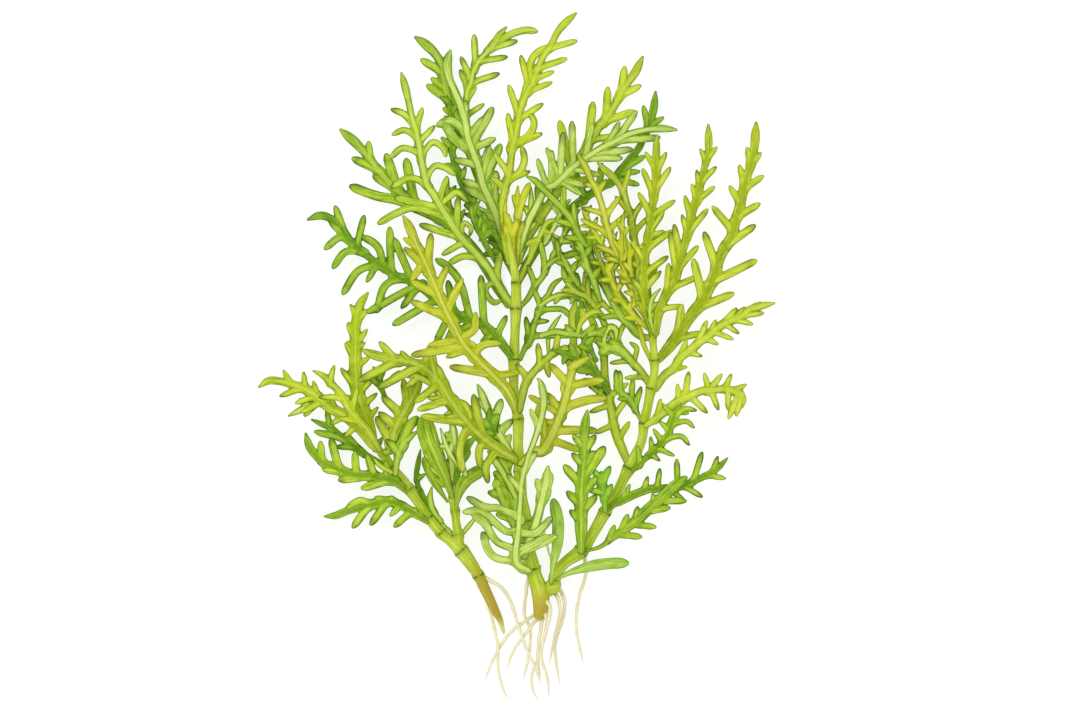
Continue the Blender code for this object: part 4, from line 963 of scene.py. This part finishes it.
def tube_mesh(name, course, half, around, squareness=0.0, flatness=1.0):
    """A profile carried along a course. At the angle a, the profile's radius is h (1 + q cos 4a), with its
    height pressed to a share of its width, and both ends close in a round cap."""
    side = flat_frame(course)
    along = np.gradient(course, axis=0)
    along /= np.linalg.norm(along, axis=1)[:, None]
    up = np.cross(along, side)
    angle = np.linspace(0.0, 2 * math.pi, around, endpoint=False)
    radius = 1.0 + squareness * np.cos(4.0 * angle)
    ring = (np.cos(angle) * radius)[None, :, None] * side[:, None, :]
    ring = ring + flatness * (np.sin(angle) * radius)[None, :, None] * up[:, None, :]
    points = course[:, None, :] + half[:, None, None] * ring
    place = arc_lengths(course)
    rows, columns = np.meshgrid(np.arange(len(course) - 1), np.arange(around), indexing="ij")
    a = (rows * around + columns).ravel()
    b = (rows * around + (columns + 1) % around).ravel()
    walls = np.vstack([np.column_stack([a, b, b + around]), np.column_stack([a, b + around, a + around])])
    last = (len(course) - 1) * around
    spin = np.arange(around)
    count = len(course) * around
    foot = np.column_stack([np.roll(spin, -1), spin, np.full(around, count)])
    head = np.column_stack([last + spin, last + np.roll(spin, -1), np.full(around, count + 1)])
    everything = np.vstack([points.reshape(-1, 3), course[:1], course[-1:]])
    faces = np.vstack([walls, foot, head])
    marks = {
        "run": np.concatenate([np.repeat(place / MM, around), [0.0, place[-1] / MM]]),
        "angle": np.concatenate([np.tile(angle, len(course)), [0.0, 0.0]]),
        "tip": np.concatenate([np.repeat(place / place[-1], around), [0.0, 1.0]]),
    }
    return everything, faces, marks


def rounded_ends(half, place, length, radius):
    """A half width that closes like a quarter circle at both ends."""
    near = np.minimum(place, length - place)
    return half * np.sqrt(np.clip(1.0 - (1.0 - np.clip(near / radius, 0.0, 1.0)) ** 2, 0.0004, 1.0))


def stem_piece(name, node, text, rings, sizes):
    """A stem, or a bud on one: a slightly square tube at the node's height that swells at each ring, with a
    narrow waist just above the ring."""
    plan = smooth_course(trace(text), sizes.stem_step)
    height = height_over(node_points(node), plan[:, :2])
    lift = 0.0 if name == node else sizes.bud_lift
    course = np.column_stack([plan[:, :2], height + lift])
    place = arc_lengths(plan)
    ring_y = (CENTRE_Y - np.array([float(value) for value in rings.split()])) * POINT
    half = 0.5 * plan[:, 2]
    ring_mark = np.zeros(len(plan))
    for y in ring_y:
        at = place[np.abs(plan[:, 1] - y).argmin()]
        half = half * (1.0 + sizes.node_swell * np.exp(-((place - at) / (1.5 * MM)) ** 2)
                       - 0.09 * np.exp(-((place - at - 2.2 * MM) / (0.7 * MM)) ** 2))
        ring_mark = np.maximum(ring_mark, np.exp(-((place - at) / (0.6 * MM)) ** 2))
    half = rounded_ends(half, place, place[-1], 1.6 * MM)
    points, faces, marks = tube_mesh(name, course, half, 44, squareness=0.025, flatness=0.94)
    brown_from = BROWN_FROM.get(name, sizes.brown_from)
    brown = np.clip((CENTRE_Y - plan[:, 1] / POINT - brown_from) / sizes.brown_reach, 0.0, 1.0)
    marks["ring"] = np.concatenate([np.repeat(ring_mark, 44), [0.0, 0.0]])
    marks["brown"] = np.concatenate([np.repeat(brown, 44), [brown[0], brown[-1]]])
    piece = new_piece(name + "_skin", points, faces, marks)
    finish_piece(piece, "painted_stem", name)


def finish_piece(piece, material_name, name):
    piece.data.materials.append(bpy.data.materials[material_name])
    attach(piece, "root")
    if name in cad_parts:
        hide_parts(name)


def root_piece(name, number, sizes):
    """A root: a fine tube that thins to its end and wavers a little about its traced course."""
    plan = smooth_course(trace(ROOTS[name]), sizes.root_step)
    place = arc_lengths(plan)
    side = flat_frame(plan)
    waver = (0.14 * MM * np.sin(place / (3.1 * MM) + number) + 0.04 * MM * np.sin(place / (0.9 * MM) + 2 * number))
    plan = plan + side[:, :2] * (waver * np.clip(place / (6 * MM), 0.0, 1.0))[:, None]
    uneven = 1.0 + 0.06 * np.sin(place / (1.3 * MM) + number)
    half = sizes.root_half_width * (1.0 - 0.38 * place / place[-1]) * uneven
    half = half * np.clip(1.0 + 0.8 * np.exp(-place / (2.0 * MM)), 1.0, 1.8)
    half = half * np.sqrt(np.clip((place[-1] - place) / (6.0 * MM), 0.02, 1.0))
    height = height_over(node_points(name), plan) - sizes.root_sink * np.exp(-(place / (4.5 * MM)) ** 2)
    height = np.maximum(height, half + 0.05 * MM)
    points, faces, marks = tube_mesh(name, np.column_stack([plan, height]), half, 10)
    piece = new_piece(name + "_skin", points, faces, marks)
    finish_piece(piece, "painted_root", name)
    return piece


# Materials


class Value:
    """A number socket of a node tree. Arithmetic on it adds Math nodes."""

    def __init__(self, tree, socket):
        self.tree = tree
        self.socket = socket

    def math(self, operation, *others):
        inputs = {number + 1: other for number, other in enumerate(others)}
        return self.tree.node("ShaderNodeMath", {"operation": operation}, {0: self, **inputs})

    def __add__(self, other):
        return self.math("ADD", other)

    def __sub__(self, other):
        return self.math("SUBTRACT", other)

    def __mul__(self, other):
        return self.math("MULTIPLY", other)

    def __truediv__(self, other):
        return self.math("DIVIDE", other)

    def __pow__(self, other):
        return self.math("POWER", other)

    def __rsub__(self, other):
        return (self * -1.0) + other

    __radd__ = __add__
    __rmul__ = __mul__

    def clamp(self):
        return self.tree.node("ShaderNodeClamp", {}, {"Value": self})

    def ramp(self, low, high, start=0.0, end=1.0):
        """From start at low to end at high, in a smooth step."""
        settings = {"interpolation_type": "SMOOTHSTEP"}
        values = {"Value": self, "From Min": low, "From Max": high, "To Min": start, "To Max": end}
        return self.tree.node("ShaderNodeMapRange", settings, values)


class Finish:
    """A material's node tree, with one method that adds any node."""

    def __init__(self, name):
        self.material = bpy.data.materials.new(name)
        self.material.use_nodes = True
        self.nodes = self.material.node_tree.nodes
        self.links = self.material.node_tree.links
        self.shader = self.nodes["Principled BSDF"]

    def node(self, kind, settings=None, values=None, output=0):
        made = self.nodes.new(kind)
        for key, value in (settings or {}).items():
            setattr(made, key, value)
        for key, value in (values or {}).items():
            self.feed(made.inputs[key], value)
        return Value(self, made.outputs[output])

    def feed(self, socket, value):
        if isinstance(value, Value):
            self.links.new(value.socket, socket)
        elif isinstance(value, tuple) and len(value) == 3 and socket.type == "RGBA":
            socket.default_value = (*value, 1.0)
        else:
            socket.default_value = value

    def mark(self, name):
        return self.node("ShaderNodeAttribute", {"attribute_name": name}, output=2)

    def place(self):
        return self.node("ShaderNodeTexCoord", output="Object")

    def noise(self, vector, scale, detail=3.0, roughness=0.55):
        """Noise between about 0.3 and 0.7, spread to 0 to 1."""
        made = self.node("ShaderNodeTexNoise", {}, {"Vector": vector, "Scale": scale, "Detail": detail,
                                                    "Roughness": roughness})
        return made.ramp(0.32, 0.68)

    def mix(self, amount, a, b, blend="MIX"):
        made = self.nodes.new("ShaderNodeMix")
        made.data_type = "RGBA"
        made.blend_type = blend
        self.feed(made.inputs["Factor"], amount)
        colours = [socket for socket in made.inputs if socket.type == "RGBA"]
        self.feed(colours[0], a)
        self.feed(colours[1], b)
        return Value(self, next(socket for socket in made.outputs if socket.type == "RGBA"))

    def vector(self, x, y, z):
        return self.node("ShaderNodeCombineXYZ", {}, {"X": x, "Y": y, "Z": z})

    def surface(self, colour, roughness, height, depth):
        """Colour and roughness on the shader, and a height in millimetres as its bump."""
        self.feed(self.shader.inputs["Base Color"], colour)
        self.feed(self.shader.inputs["Roughness"], roughness)
        bump = self.node("ShaderNodeBump", {}, {"Strength": 0.6, "Distance": depth * MM, "Height": height})
        self.feed(self.shader.inputs["Normal"], bump)
        self.shader.inputs["Specular IOR Level"].default_value = 0.16


def leaf_finish(name, tones, stripe_share):
    """A leaf: a body colour brushed along each lobe with lighter and deeper streaks, a pale band along the
    midrib between two thin deeper lines, a fainter band along each lobe that is a painted highlight on its
    rounded middle, deeper colour at some tips, and painted shade at the edges and in the notches."""
    made = Finish("painted_" + name)
    light, body, deep, dark = tones
    edge, side, run = (made.mark(key) for key in ("edge", "side", "run"))
    across, rib, tip, lobe, own, foot = (made.mark(key) for key in FINISH_SHARES)
    rib = rib.math("ABSOLUTE")
    place = made.place()
    cloud = made.noise(place, 85.0, 2.0)
    patch = made.noise(place, 230.0, 3.0)
    grain = made.noise(place, 1500.0, 2.0)
    brushed = made.noise(made.vector(run * 0.15, side * 1.5, cloud * 0.6), 1.0, 3.0, 0.6)
    strokes = made.noise(made.vector(run * 0.11, side * 1.9, cloud + 4.0), 1.0, 2.0)
    # Painted shade: deeper towards the edges, as on a rounded lobe, together with random deeper patches
    margin_shade_and_patches = ((1.0 - edge.ramp(0.10, 0.85)) * 0.45 + patch * 0.65 + cloud * 0.55 - 0.52).clamp()
    colour = made.mix(margin_shade_and_patches, body, deep)
    own_line = own.ramp(0.5, 0.85)
    colour = made.mix((strokes.ramp(0.45, 0.9) * own_line * 0.75).clamp(), colour, deep)
    streaks = brushed.ramp(0.15, 0.9) * own_line * edge.ramp(0.15, 0.5) * (lobe * 0.3 + 0.52)
    colour = made.mix(streaks.clamp(), colour, light)
    # Painted highlight: a pale band along the rounded middle of each lobe
    band = (1.0 - across.ramp(0.15, 0.68)) * own_line * lobe * tip.ramp(0.15, 0.4) * (cloud * 0.7 + 0.15)
    colour = made.mix(band.clamp(), colour, light)
    fading = foot.ramp(0.80, 0.98, stripe_share, 0.3 * stripe_share)
    stripe = (1.0 - rib.ramp(0.38, 0.62)) * fading * (brushed * 0.3 + 0.7)
    if stripe_share < 0.0:
        stripe = stripe * -1.0
    pale = tuple(0.75 * value + 0.25 * paler for value, paler in zip(light, RIB_PALE))
    colour = made.mix(stripe.clamp(), colour, pale if stripe_share > 0.0 else deep)
    lines = rib.ramp(0.48, 0.66) * (1.0 - rib.ramp(0.70, 0.9)) * fading * (patch * 0.5 + 0.4)
    colour = made.mix(lines.clamp(), colour, deep)
    ends = tip.ramp(0.70, 0.98) * lobe * cloud.ramp(0.35, 0.85) * (1.0 - edge.ramp(0.2, 0.9, 0.0, 0.4)) * 0.9
    colour = made.mix(ends.clamp(), colour, dark)
    # Painted shade in the notches, where lobes meet
    notch = (1.0 - own.ramp(0.5, 0.9)) * (1.0 - edge.ramp(0.2, 0.9)) * patch.ramp(0.2, 0.8) * 0.6
    colour = made.mix(notch.clamp(), colour, dark)
    # Painted shade: a deeper rim along the leaf's rounded edge
    rim = (1.0 - edge.ramp(0.04, 0.38)) * (patch * 0.5 + 0.5)
    colour = made.mix(rim.clamp(), colour, made.mix(cloud * 0.5 + 0.25, deep, dark))
    colour = made.mix((grain * 0.12).clamp(), colour, light)
    roughness = 0.52 + grain * 0.14 + patch * 0.08
    made.surface(colour, roughness, brushed * own_line * 0.7 + grain * 0.3, 0.10)
    return made.material


def stem_finish(tones, settings):
    """A stem: broad soft streaks along it, flanks deepened as painted shade, uneven dark rings, and brown towards its
    cut foot.
    """
    made = Finish("painted_stem")
    light, body, deep, dark = tones
    run, angle, ring, turned = (made.mark(key) for key in ("run", "angle", "ring", "brown"))
    place = made.place()
    round_x = angle.math("COSINE")
    round_y = angle.math("SINE")
    streak = made.noise(made.vector(run * 0.06, round_x * 1.8, round_y * 1.8), 1.5, 3.0, 0.55)
    fine = made.noise(made.vector(run * 0.2, round_x * 6.0, round_y * 6.0), 1.6, 2.0)
    cloud = made.noise(place, 110.0, 3.0)
    blot = made.noise(place, 420.0, 3.0)
    grain = made.noise(place, 1300.0, 2.0)
    height = made.node("ShaderNodeSeparateXYZ", {}, {"Vector": place}, output=1)
    colour = made.mix((streak * 0.9 + cloud * 0.45 - 0.25).clamp(), body, light)
    colour = made.mix((fine * 0.10).clamp(), colour, deep)
    # Painted shade: deeper on the flanks, where the round stem turns away from above
    flank_shade = (round_x * round_x).ramp(0.55, 0.98) * (0.40 + 0.45 * cloud)
    colour = made.mix(flank_shade.clamp(), colour, deep)
    brown = turned.ramp(0.0, 1.0) * (0.4 + streak * 0.5)
    colour = made.mix(brown.clamp(), colour, tuple(settings.stem_foot))
    cut = height.ramp(settings.cut_start, settings.cut_end) * (0.8 + streak * 0.2)
    colour = made.mix(cut.clamp(), colour, tuple(settings.stem_cut))
    colour = made.mix((ring ** 0.15 * (0.2 + 0.5 * cloud)).clamp(), colour, deep)
    rings = (ring * (0.35 + 0.9 * blot)).ramp(0.3, 0.9)
    colour = made.mix((rings * 0.75).clamp(), colour, dark)
    made.surface(colour, 0.46 + grain * 0.15, streak * 0.6 + fine * 0.4, 0.12)
    return made.material


def root_finish(light, tan):
    """A root: cream, with broken tan lines down both of its sides as painted shade, and faint tan streaks along it."""
    made = Finish("painted_root")
    run, angle = made.mark("run"), made.mark("angle")
    place = made.place()
    patch = made.noise(place, 300.0, 2.0)
    side = angle.math("COSINE")
    # Painted shade: broken tan down both flanks, where the round root turns away from above
    flank_shade = (side * side).ramp(0.66, 0.95) * patch.ramp(0.1, 0.7, 0.5, 1.0)
    colour = made.mix(flank_shade.clamp(), light, tan)
    colour = made.mix((made.noise(made.vector(run * 0.25, side * 2.0, 0.0), 1.0) * 0.2).clamp(), colour, tan)
    made.surface(colour, 0.5 + patch * 0.1, patch, 0.06)
    return made.material


def floor_finish(colour, glow):
    """A plain matt floor with the faintest grain, lit a little from below as a light table is."""
    made = Finish("floor")
    grain = made.noise(made.place(), 900.0, 2.0)
    shade = made.mix(grain * 0.02, tuple(colour), (0.9, 0.9, 0.9))
    made.surface(shade, 0.9 + grain * 0.05, grain, 0.02)
    made.shader.inputs["Emission Color"].default_value = (1.0, 1.0, 1.0, 1.0)
    made.shader.inputs["Emission Strength"].default_value = glow
    return made.material


# Settings


# How strong the midrib's pale band is, below zero for a deep one, then the light, body, deep and dark colour
LEAF_TONES = {
    "fresh": (0.75, colour_of(214, 232, 84), colour_of(158, 192, 28), colour_of(98, 146, 8), colour_of(40, 88, 2)),
    "pale": (0.9, colour_of(222, 238, 124), colour_of(162, 200, 50), colour_of(98, 150, 18), colour_of(40, 98, 6)),
    "tall": (0.95, colour_of(214, 234, 110), colour_of(142, 182, 36), colour_of(88, 140, 12), colour_of(36, 90, 4)),
    "mid": (0.5, colour_of(200, 226, 70), colour_of(142, 182, 22), colour_of(82, 134, 8), colour_of(30, 80, 2)),
    "veined": (-0.6, colour_of(204, 228, 72), colour_of(148, 186, 24), colour_of(82, 134, 8), colour_of(30, 80, 2)),
    "dark": (-0.45, colour_of(182, 214, 64), colour_of(126, 172, 22), colour_of(64, 120, 8), colour_of(16, 64, 2)),
    "lime": (0.45, colour_of(222, 234, 76), colour_of(180, 202, 16), colour_of(126, 154, 4), colour_of(66, 100, 1)),
    "bright": (0.45, colour_of(230, 240, 92), colour_of(192, 214, 28), colour_of(140, 170, 8), colour_of(80, 112, 4)),
    "reed": (-0.4, colour_of(224, 234, 78), colour_of(172, 192, 20), colour_of(124, 152, 8), colour_of(64, 100, 2)),
    "olive": (0.45, colour_of(214, 226, 74), colour_of(160, 184, 16), colour_of(112, 142, 6), colour_of(56, 92, 2)),
    "gold": (0.75, colour_of(218, 226, 78), colour_of(182, 194, 8), colour_of(140, 150, 2), colour_of(98, 102, 2)),
    "amber": (0.12, colour_of(232, 234, 84), colour_of(198, 208, 18), colour_of(156, 172, 8), colour_of(112, 122, 4)),
    "blade": (0.45, colour_of(212, 236, 114), colour_of(166, 206, 72), colour_of(124, 176, 44), colour_of(56, 118, 18)),
    "vivid": (0.2, colour_of(180, 224, 64), colour_of(130, 188, 30), colour_of(84, 148, 14), colour_of(24, 96, 8)),
}
RIB_PALE = colour_of(244, 250, 170)
STEM_TONES = (colour_of(224, 235, 96), colour_of(180, 205, 34), colour_of(126, 156, 16), colour_of(58, 92, 6))


def length_setting(name, description, default):
    return bpy.props.FloatProperty(name=name, description=description, default=default, min=0.0,
                                   unit="LENGTH", subtype="DISTANCE", precision=5)


def colour_setting(name, description, default):
    return bpy.props.FloatVectorProperty(name=name, description=description, default=default, size=3,
                                         min=0.0, max=1.0, subtype="COLOR")


class WisteriaSizes(bpy.types.PropertyGroup):
    """Sizes of the leaves, stems and roots."""

    lobe_half_width: length_setting("Lobe half width", "Half the width of a middling lobe", 1.24 * MM)
    rib_foot: length_setting("Midrib half width at the stalk", "Half the width of a leaf's midrib at its stalk",
                             2.0 * MM)
    rib_tip: length_setting("Midrib half width near the tip", "Half its width near the tip", 1.26 * MM)
    web: length_setting("Web", "How far the notches between lobes are rounded", 0.26 * MM)
    leaf_half_thickness: length_setting("Leaf half thickness", "Half the thickness of a lobe", 0.26 * MM)
    rim_half_thickness: length_setting("Rim half thickness", "Half the thickness of a leaf's rim", 0.05 * MM)
    ridge: length_setting("Ridge", "Height of the ridge along a midrib", 0.16 * MM)
    bud_lift: length_setting("Bud lift", "How far above its stem's middle a bud sits", 1.2 * MM)
    foot_sink: length_setting("Foot sink", "How far a leaf's foot goes down into the stem", 1.5 * MM)
    wave: length_setting("Wave", "How far the leaves wave up and down", 0.12 * MM)
    mesh_step: length_setting("Mesh step", "Size of the mesh's squares over a leaf", 0.4 * MM)
    stem_step: length_setting("Stem step", "Distance between a stem's profiles", 0.4 * MM)
    root_step: length_setting("Root step", "Distance between a root's profiles", 0.5 * MM)
    root_half_width: length_setting("Root half width", "Half the width of a root at its stem", 0.76 * MM)
    brown_from: bpy.props.FloatProperty(name="Brown from", description="The plan's y where stems begin to turn "
                                        "brown", default=578.0)
    brown_reach: bpy.props.FloatProperty(name="Brown reach", description="How much further down they are brown",
                                         default=38.0, min=0.1)
    root_sink: length_setting("Root sink", "How far a root's start goes down under its stem", 6.0 * MM)
    node_swell: bpy.props.FloatProperty(name="Node swell", description="How much wider a stem is at a node",
                                        default=0.12, min=0.0, max=1.0, subtype="FACTOR")


class WisteriaColours(bpy.types.PropertyGroup):
    """Colours that aren't a leaf's, and where along Y the stems turn pale."""

    stem_foot: colour_setting("Stem foot", "Colour of the stems near their feet", colour_of(188, 138, 60))
    stem_cut: colour_setting("Stem end", "Colour of the stems' cut ends", colour_of(232, 230, 150))
    root_light: colour_setting("Root", "Colour of the roots", colour_of(255, 250, 206))
    # The root sides' colour is painted shade down the roots' flanks, and also their faint streaks
    root_tan: colour_setting("Root sides", "Colour of the streaks on the roots", colour_of(146, 122, 64))
    cut_start: bpy.props.FloatProperty(name="Pale from", default=-0.1040, unit="LENGTH", precision=4,
                                       description="Where along Y the stems begin to turn pale")
    cut_end: bpy.props.FloatProperty(name="Pale by", default=-0.1095, unit="LENGTH", precision=4,
                                     description="Where along Y the stems are pale")


class WisteriaStage(bpy.types.PropertyGroup):
    """The floor, the lights and the camera."""

    floor_colour: colour_setting("Floor", "Colour of the floor", (0.34, 0.34, 0.34))
    floor_glow: bpy.props.FloatProperty(name="Floor glow", description="Light from below the floor", default=0.75)
    sky: bpy.props.FloatProperty(name="Sky", description="Strength of the light from all round", default=0.80)
    key: bpy.props.FloatProperty(name="Key", description="Strength of the light from the upper left", default=0.72)
    distance: length_setting("Camera distance", "From the camera to the plant", 2.4)
    plane: length_setting("Plane in focus", "Height at which the view is as wide as the picture", 10 * MM)


# Operators


class WISTERIA_OT_materials(bpy.types.Operator):
    """Makes the materials of the leaves, stems, roots and floor"""

    bl_idname = "wisteria.materials"
    bl_label = "Materials"

    def execute(self, context):
        colours = context.scene.wisteria_colours
        for name, (stripe_share, *tones) in LEAF_TONES.items():
            leaf_finish(name, tones, stripe_share)
        stem_finish(STEM_TONES, colours)
        root_finish(tuple(colours.root_light), tuple(colours.root_tan))
        stage = context.scene.wisteria_stage
        floor_finish(stage.floor_colour, stage.floor_glow)
        return {"FINISHED"}


class WISTERIA_OT_leaves(bpy.types.Operator):
    """Makes the leaves that have a node in the model"""

    bl_idname = "wisteria.leaves"
    bl_label = "Leaves"

    def execute(self, context):
        sizes = context.scene.wisteria_sizes
        for name, leaf in LEAVES.items():
            piece = leaf_piece(name, leaf, node_points(name), sizes)
            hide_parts(name)
        return {"FINISHED"}


class WISTERIA_OT_young_leaves(bpy.types.Operator):
    """Makes the small leaves between the others, which have no node in the model"""

    bl_idname = "wisteria.young_leaves"
    bl_label = "Young leaves"

    def execute(self, context):
        sizes = context.scene.wisteria_sizes
        for name, (tone, fullness, follows, lift, rib, lobes) in YOUNG_LEAVES.items():
            corners = node_points(follows) + [0.0, 0.0, lift * MM]
            piece = leaf_piece(name, (tone, fullness, rib, lobes), corners, sizes)
        return {"FINISHED"}


class WISTERIA_OT_stems(bpy.types.Operator):
    """Makes the stems and the bud between them"""

    bl_idname = "wisteria.stems"
    bl_label = "Stems"

    def execute(self, context):
        sizes = context.scene.wisteria_sizes
        for name, (text, rings) in STEMS.items():
            stem_piece(name, name, text, rings, sizes)
        for name, (node, text) in BUDS.items():
            stem_piece(name, node, text, "", sizes)
        return {"FINISHED"}


class WISTERIA_OT_roots(bpy.types.Operator):
    """Makes the roots"""

    bl_idname = "wisteria.roots"
    bl_label = "Roots"

    def execute(self, context):
        for number, name in enumerate(ROOTS):
            root_piece(name, number, context.scene.wisteria_sizes)
        return {"FINISHED"}


class WISTERIA_OT_stage(bpy.types.Operator):
    """Makes the floor, the lights and the camera"""

    bl_idname = "wisteria.stage"
    bl_label = "Stage"

    def execute(self, context):
        stage = context.scene.wisteria_stage
        add_floor()
        add_lights(context.scene, stage)
        add_camera(context.scene, stage)
        return {"FINISHED"}


def add_floor():
    """A wide square a hair below the plant."""
    half = 3.0
    corners = np.array([[-half, -half, 0.0], [half, -half, 0.0], [half, half, 0.0], [-half, half, 0.0]])
    floor = new_piece("floor", corners, [[0, 1, 2, 3]], {})
    floor.data.materials.append(bpy.data.materials["floor"])


def add_lights(scene, stage):
    """An even white sky, and a large soft sun from the upper left."""
    world = bpy.data.worlds.new("sky")
    world.use_nodes = True
    background = world.node_tree.nodes["Background"]
    background.inputs["Color"].default_value = (1.0, 1.0, 1.0, 1.0)
    background.inputs["Strength"].default_value = stage.sky
    scene.world = world
    sun = bpy.data.lights.new("key", "SUN")
    sun.energy = stage.key
    sun.angle = math.radians(28.0)
    key = bpy.data.objects.new("key", sun)
    key.rotation_euler = Vector((-0.45, 0.5, 1.0)).to_track_quat("Z", "Y").to_euler()
    scene.collection.objects.link(key)
    scene.view_settings.view_transform = "Standard"


def add_camera(scene, stage):
    """Straight above, with the picture's own framing: as wide as its points at their real size."""
    data = bpy.data.cameras.new("camera")
    data.sensor_width = 36.0
    data.lens = data.sensor_width * stage.distance / (PICTURE_WIDTH * POINT)
    camera = bpy.data.objects.new("camera", data)
    camera.location = ((PICTURE_CENTRE[0] - CENTRE_X) * POINT, (CENTRE_Y - PICTURE_CENTRE[1]) * POINT,
                       stage.distance + stage.plane)
    scene.collection.objects.link(camera)
    scene.camera = camera


class WISTERIA_PT_panel(bpy.types.Panel):
    """The plant's settings and its steps."""

    bl_label = "Water wisteria"
    bl_idname = "WISTERIA_PT_panel"
    bl_space_type = "VIEW_3D"
    bl_region_type = "UI"
    bl_category = "Wisteria"

    def draw(self, context):
        layout = self.layout
        for group in (context.scene.wisteria_sizes, context.scene.wisteria_colours, context.scene.wisteria_stage):
            box = layout.box()
            for name in group.__annotations__:
                box.prop(group, name)
        for step in STEPS:
            layout.operator(step.bl_idname)


GROUPS = {
    "wisteria_sizes": WisteriaSizes,
    "wisteria_colours": WisteriaColours,
    "wisteria_stage": WisteriaStage,
}
STEPS = (
    WISTERIA_OT_materials,
    WISTERIA_OT_leaves,
    WISTERIA_OT_young_leaves,
    WISTERIA_OT_stems,
    WISTERIA_OT_roots,
    WISTERIA_OT_stage,
)


def register():
    for made in (*GROUPS.values(), *STEPS, WISTERIA_PT_panel):
        bpy.utils.register_class(made)
    for name, group in GROUPS.items():
        setattr(bpy.types.Scene, name, bpy.props.PointerProperty(type=group))


def unregister():
    for name in GROUPS:
        delattr(bpy.types.Scene, name)
    for made in (WISTERIA_PT_panel, *reversed(STEPS), *reversed(GROUPS.values())):
        bpy.utils.unregister_class(made)


def main():
    register()
    bpy.ops.wisteria.materials()
    bpy.ops.wisteria.leaves()
    bpy.ops.wisteria.young_leaves()
    bpy.ops.wisteria.stems()
    bpy.ops.wisteria.roots()
    bpy.ops.wisteria.stage()


if __name__ == "__main__":
    main()
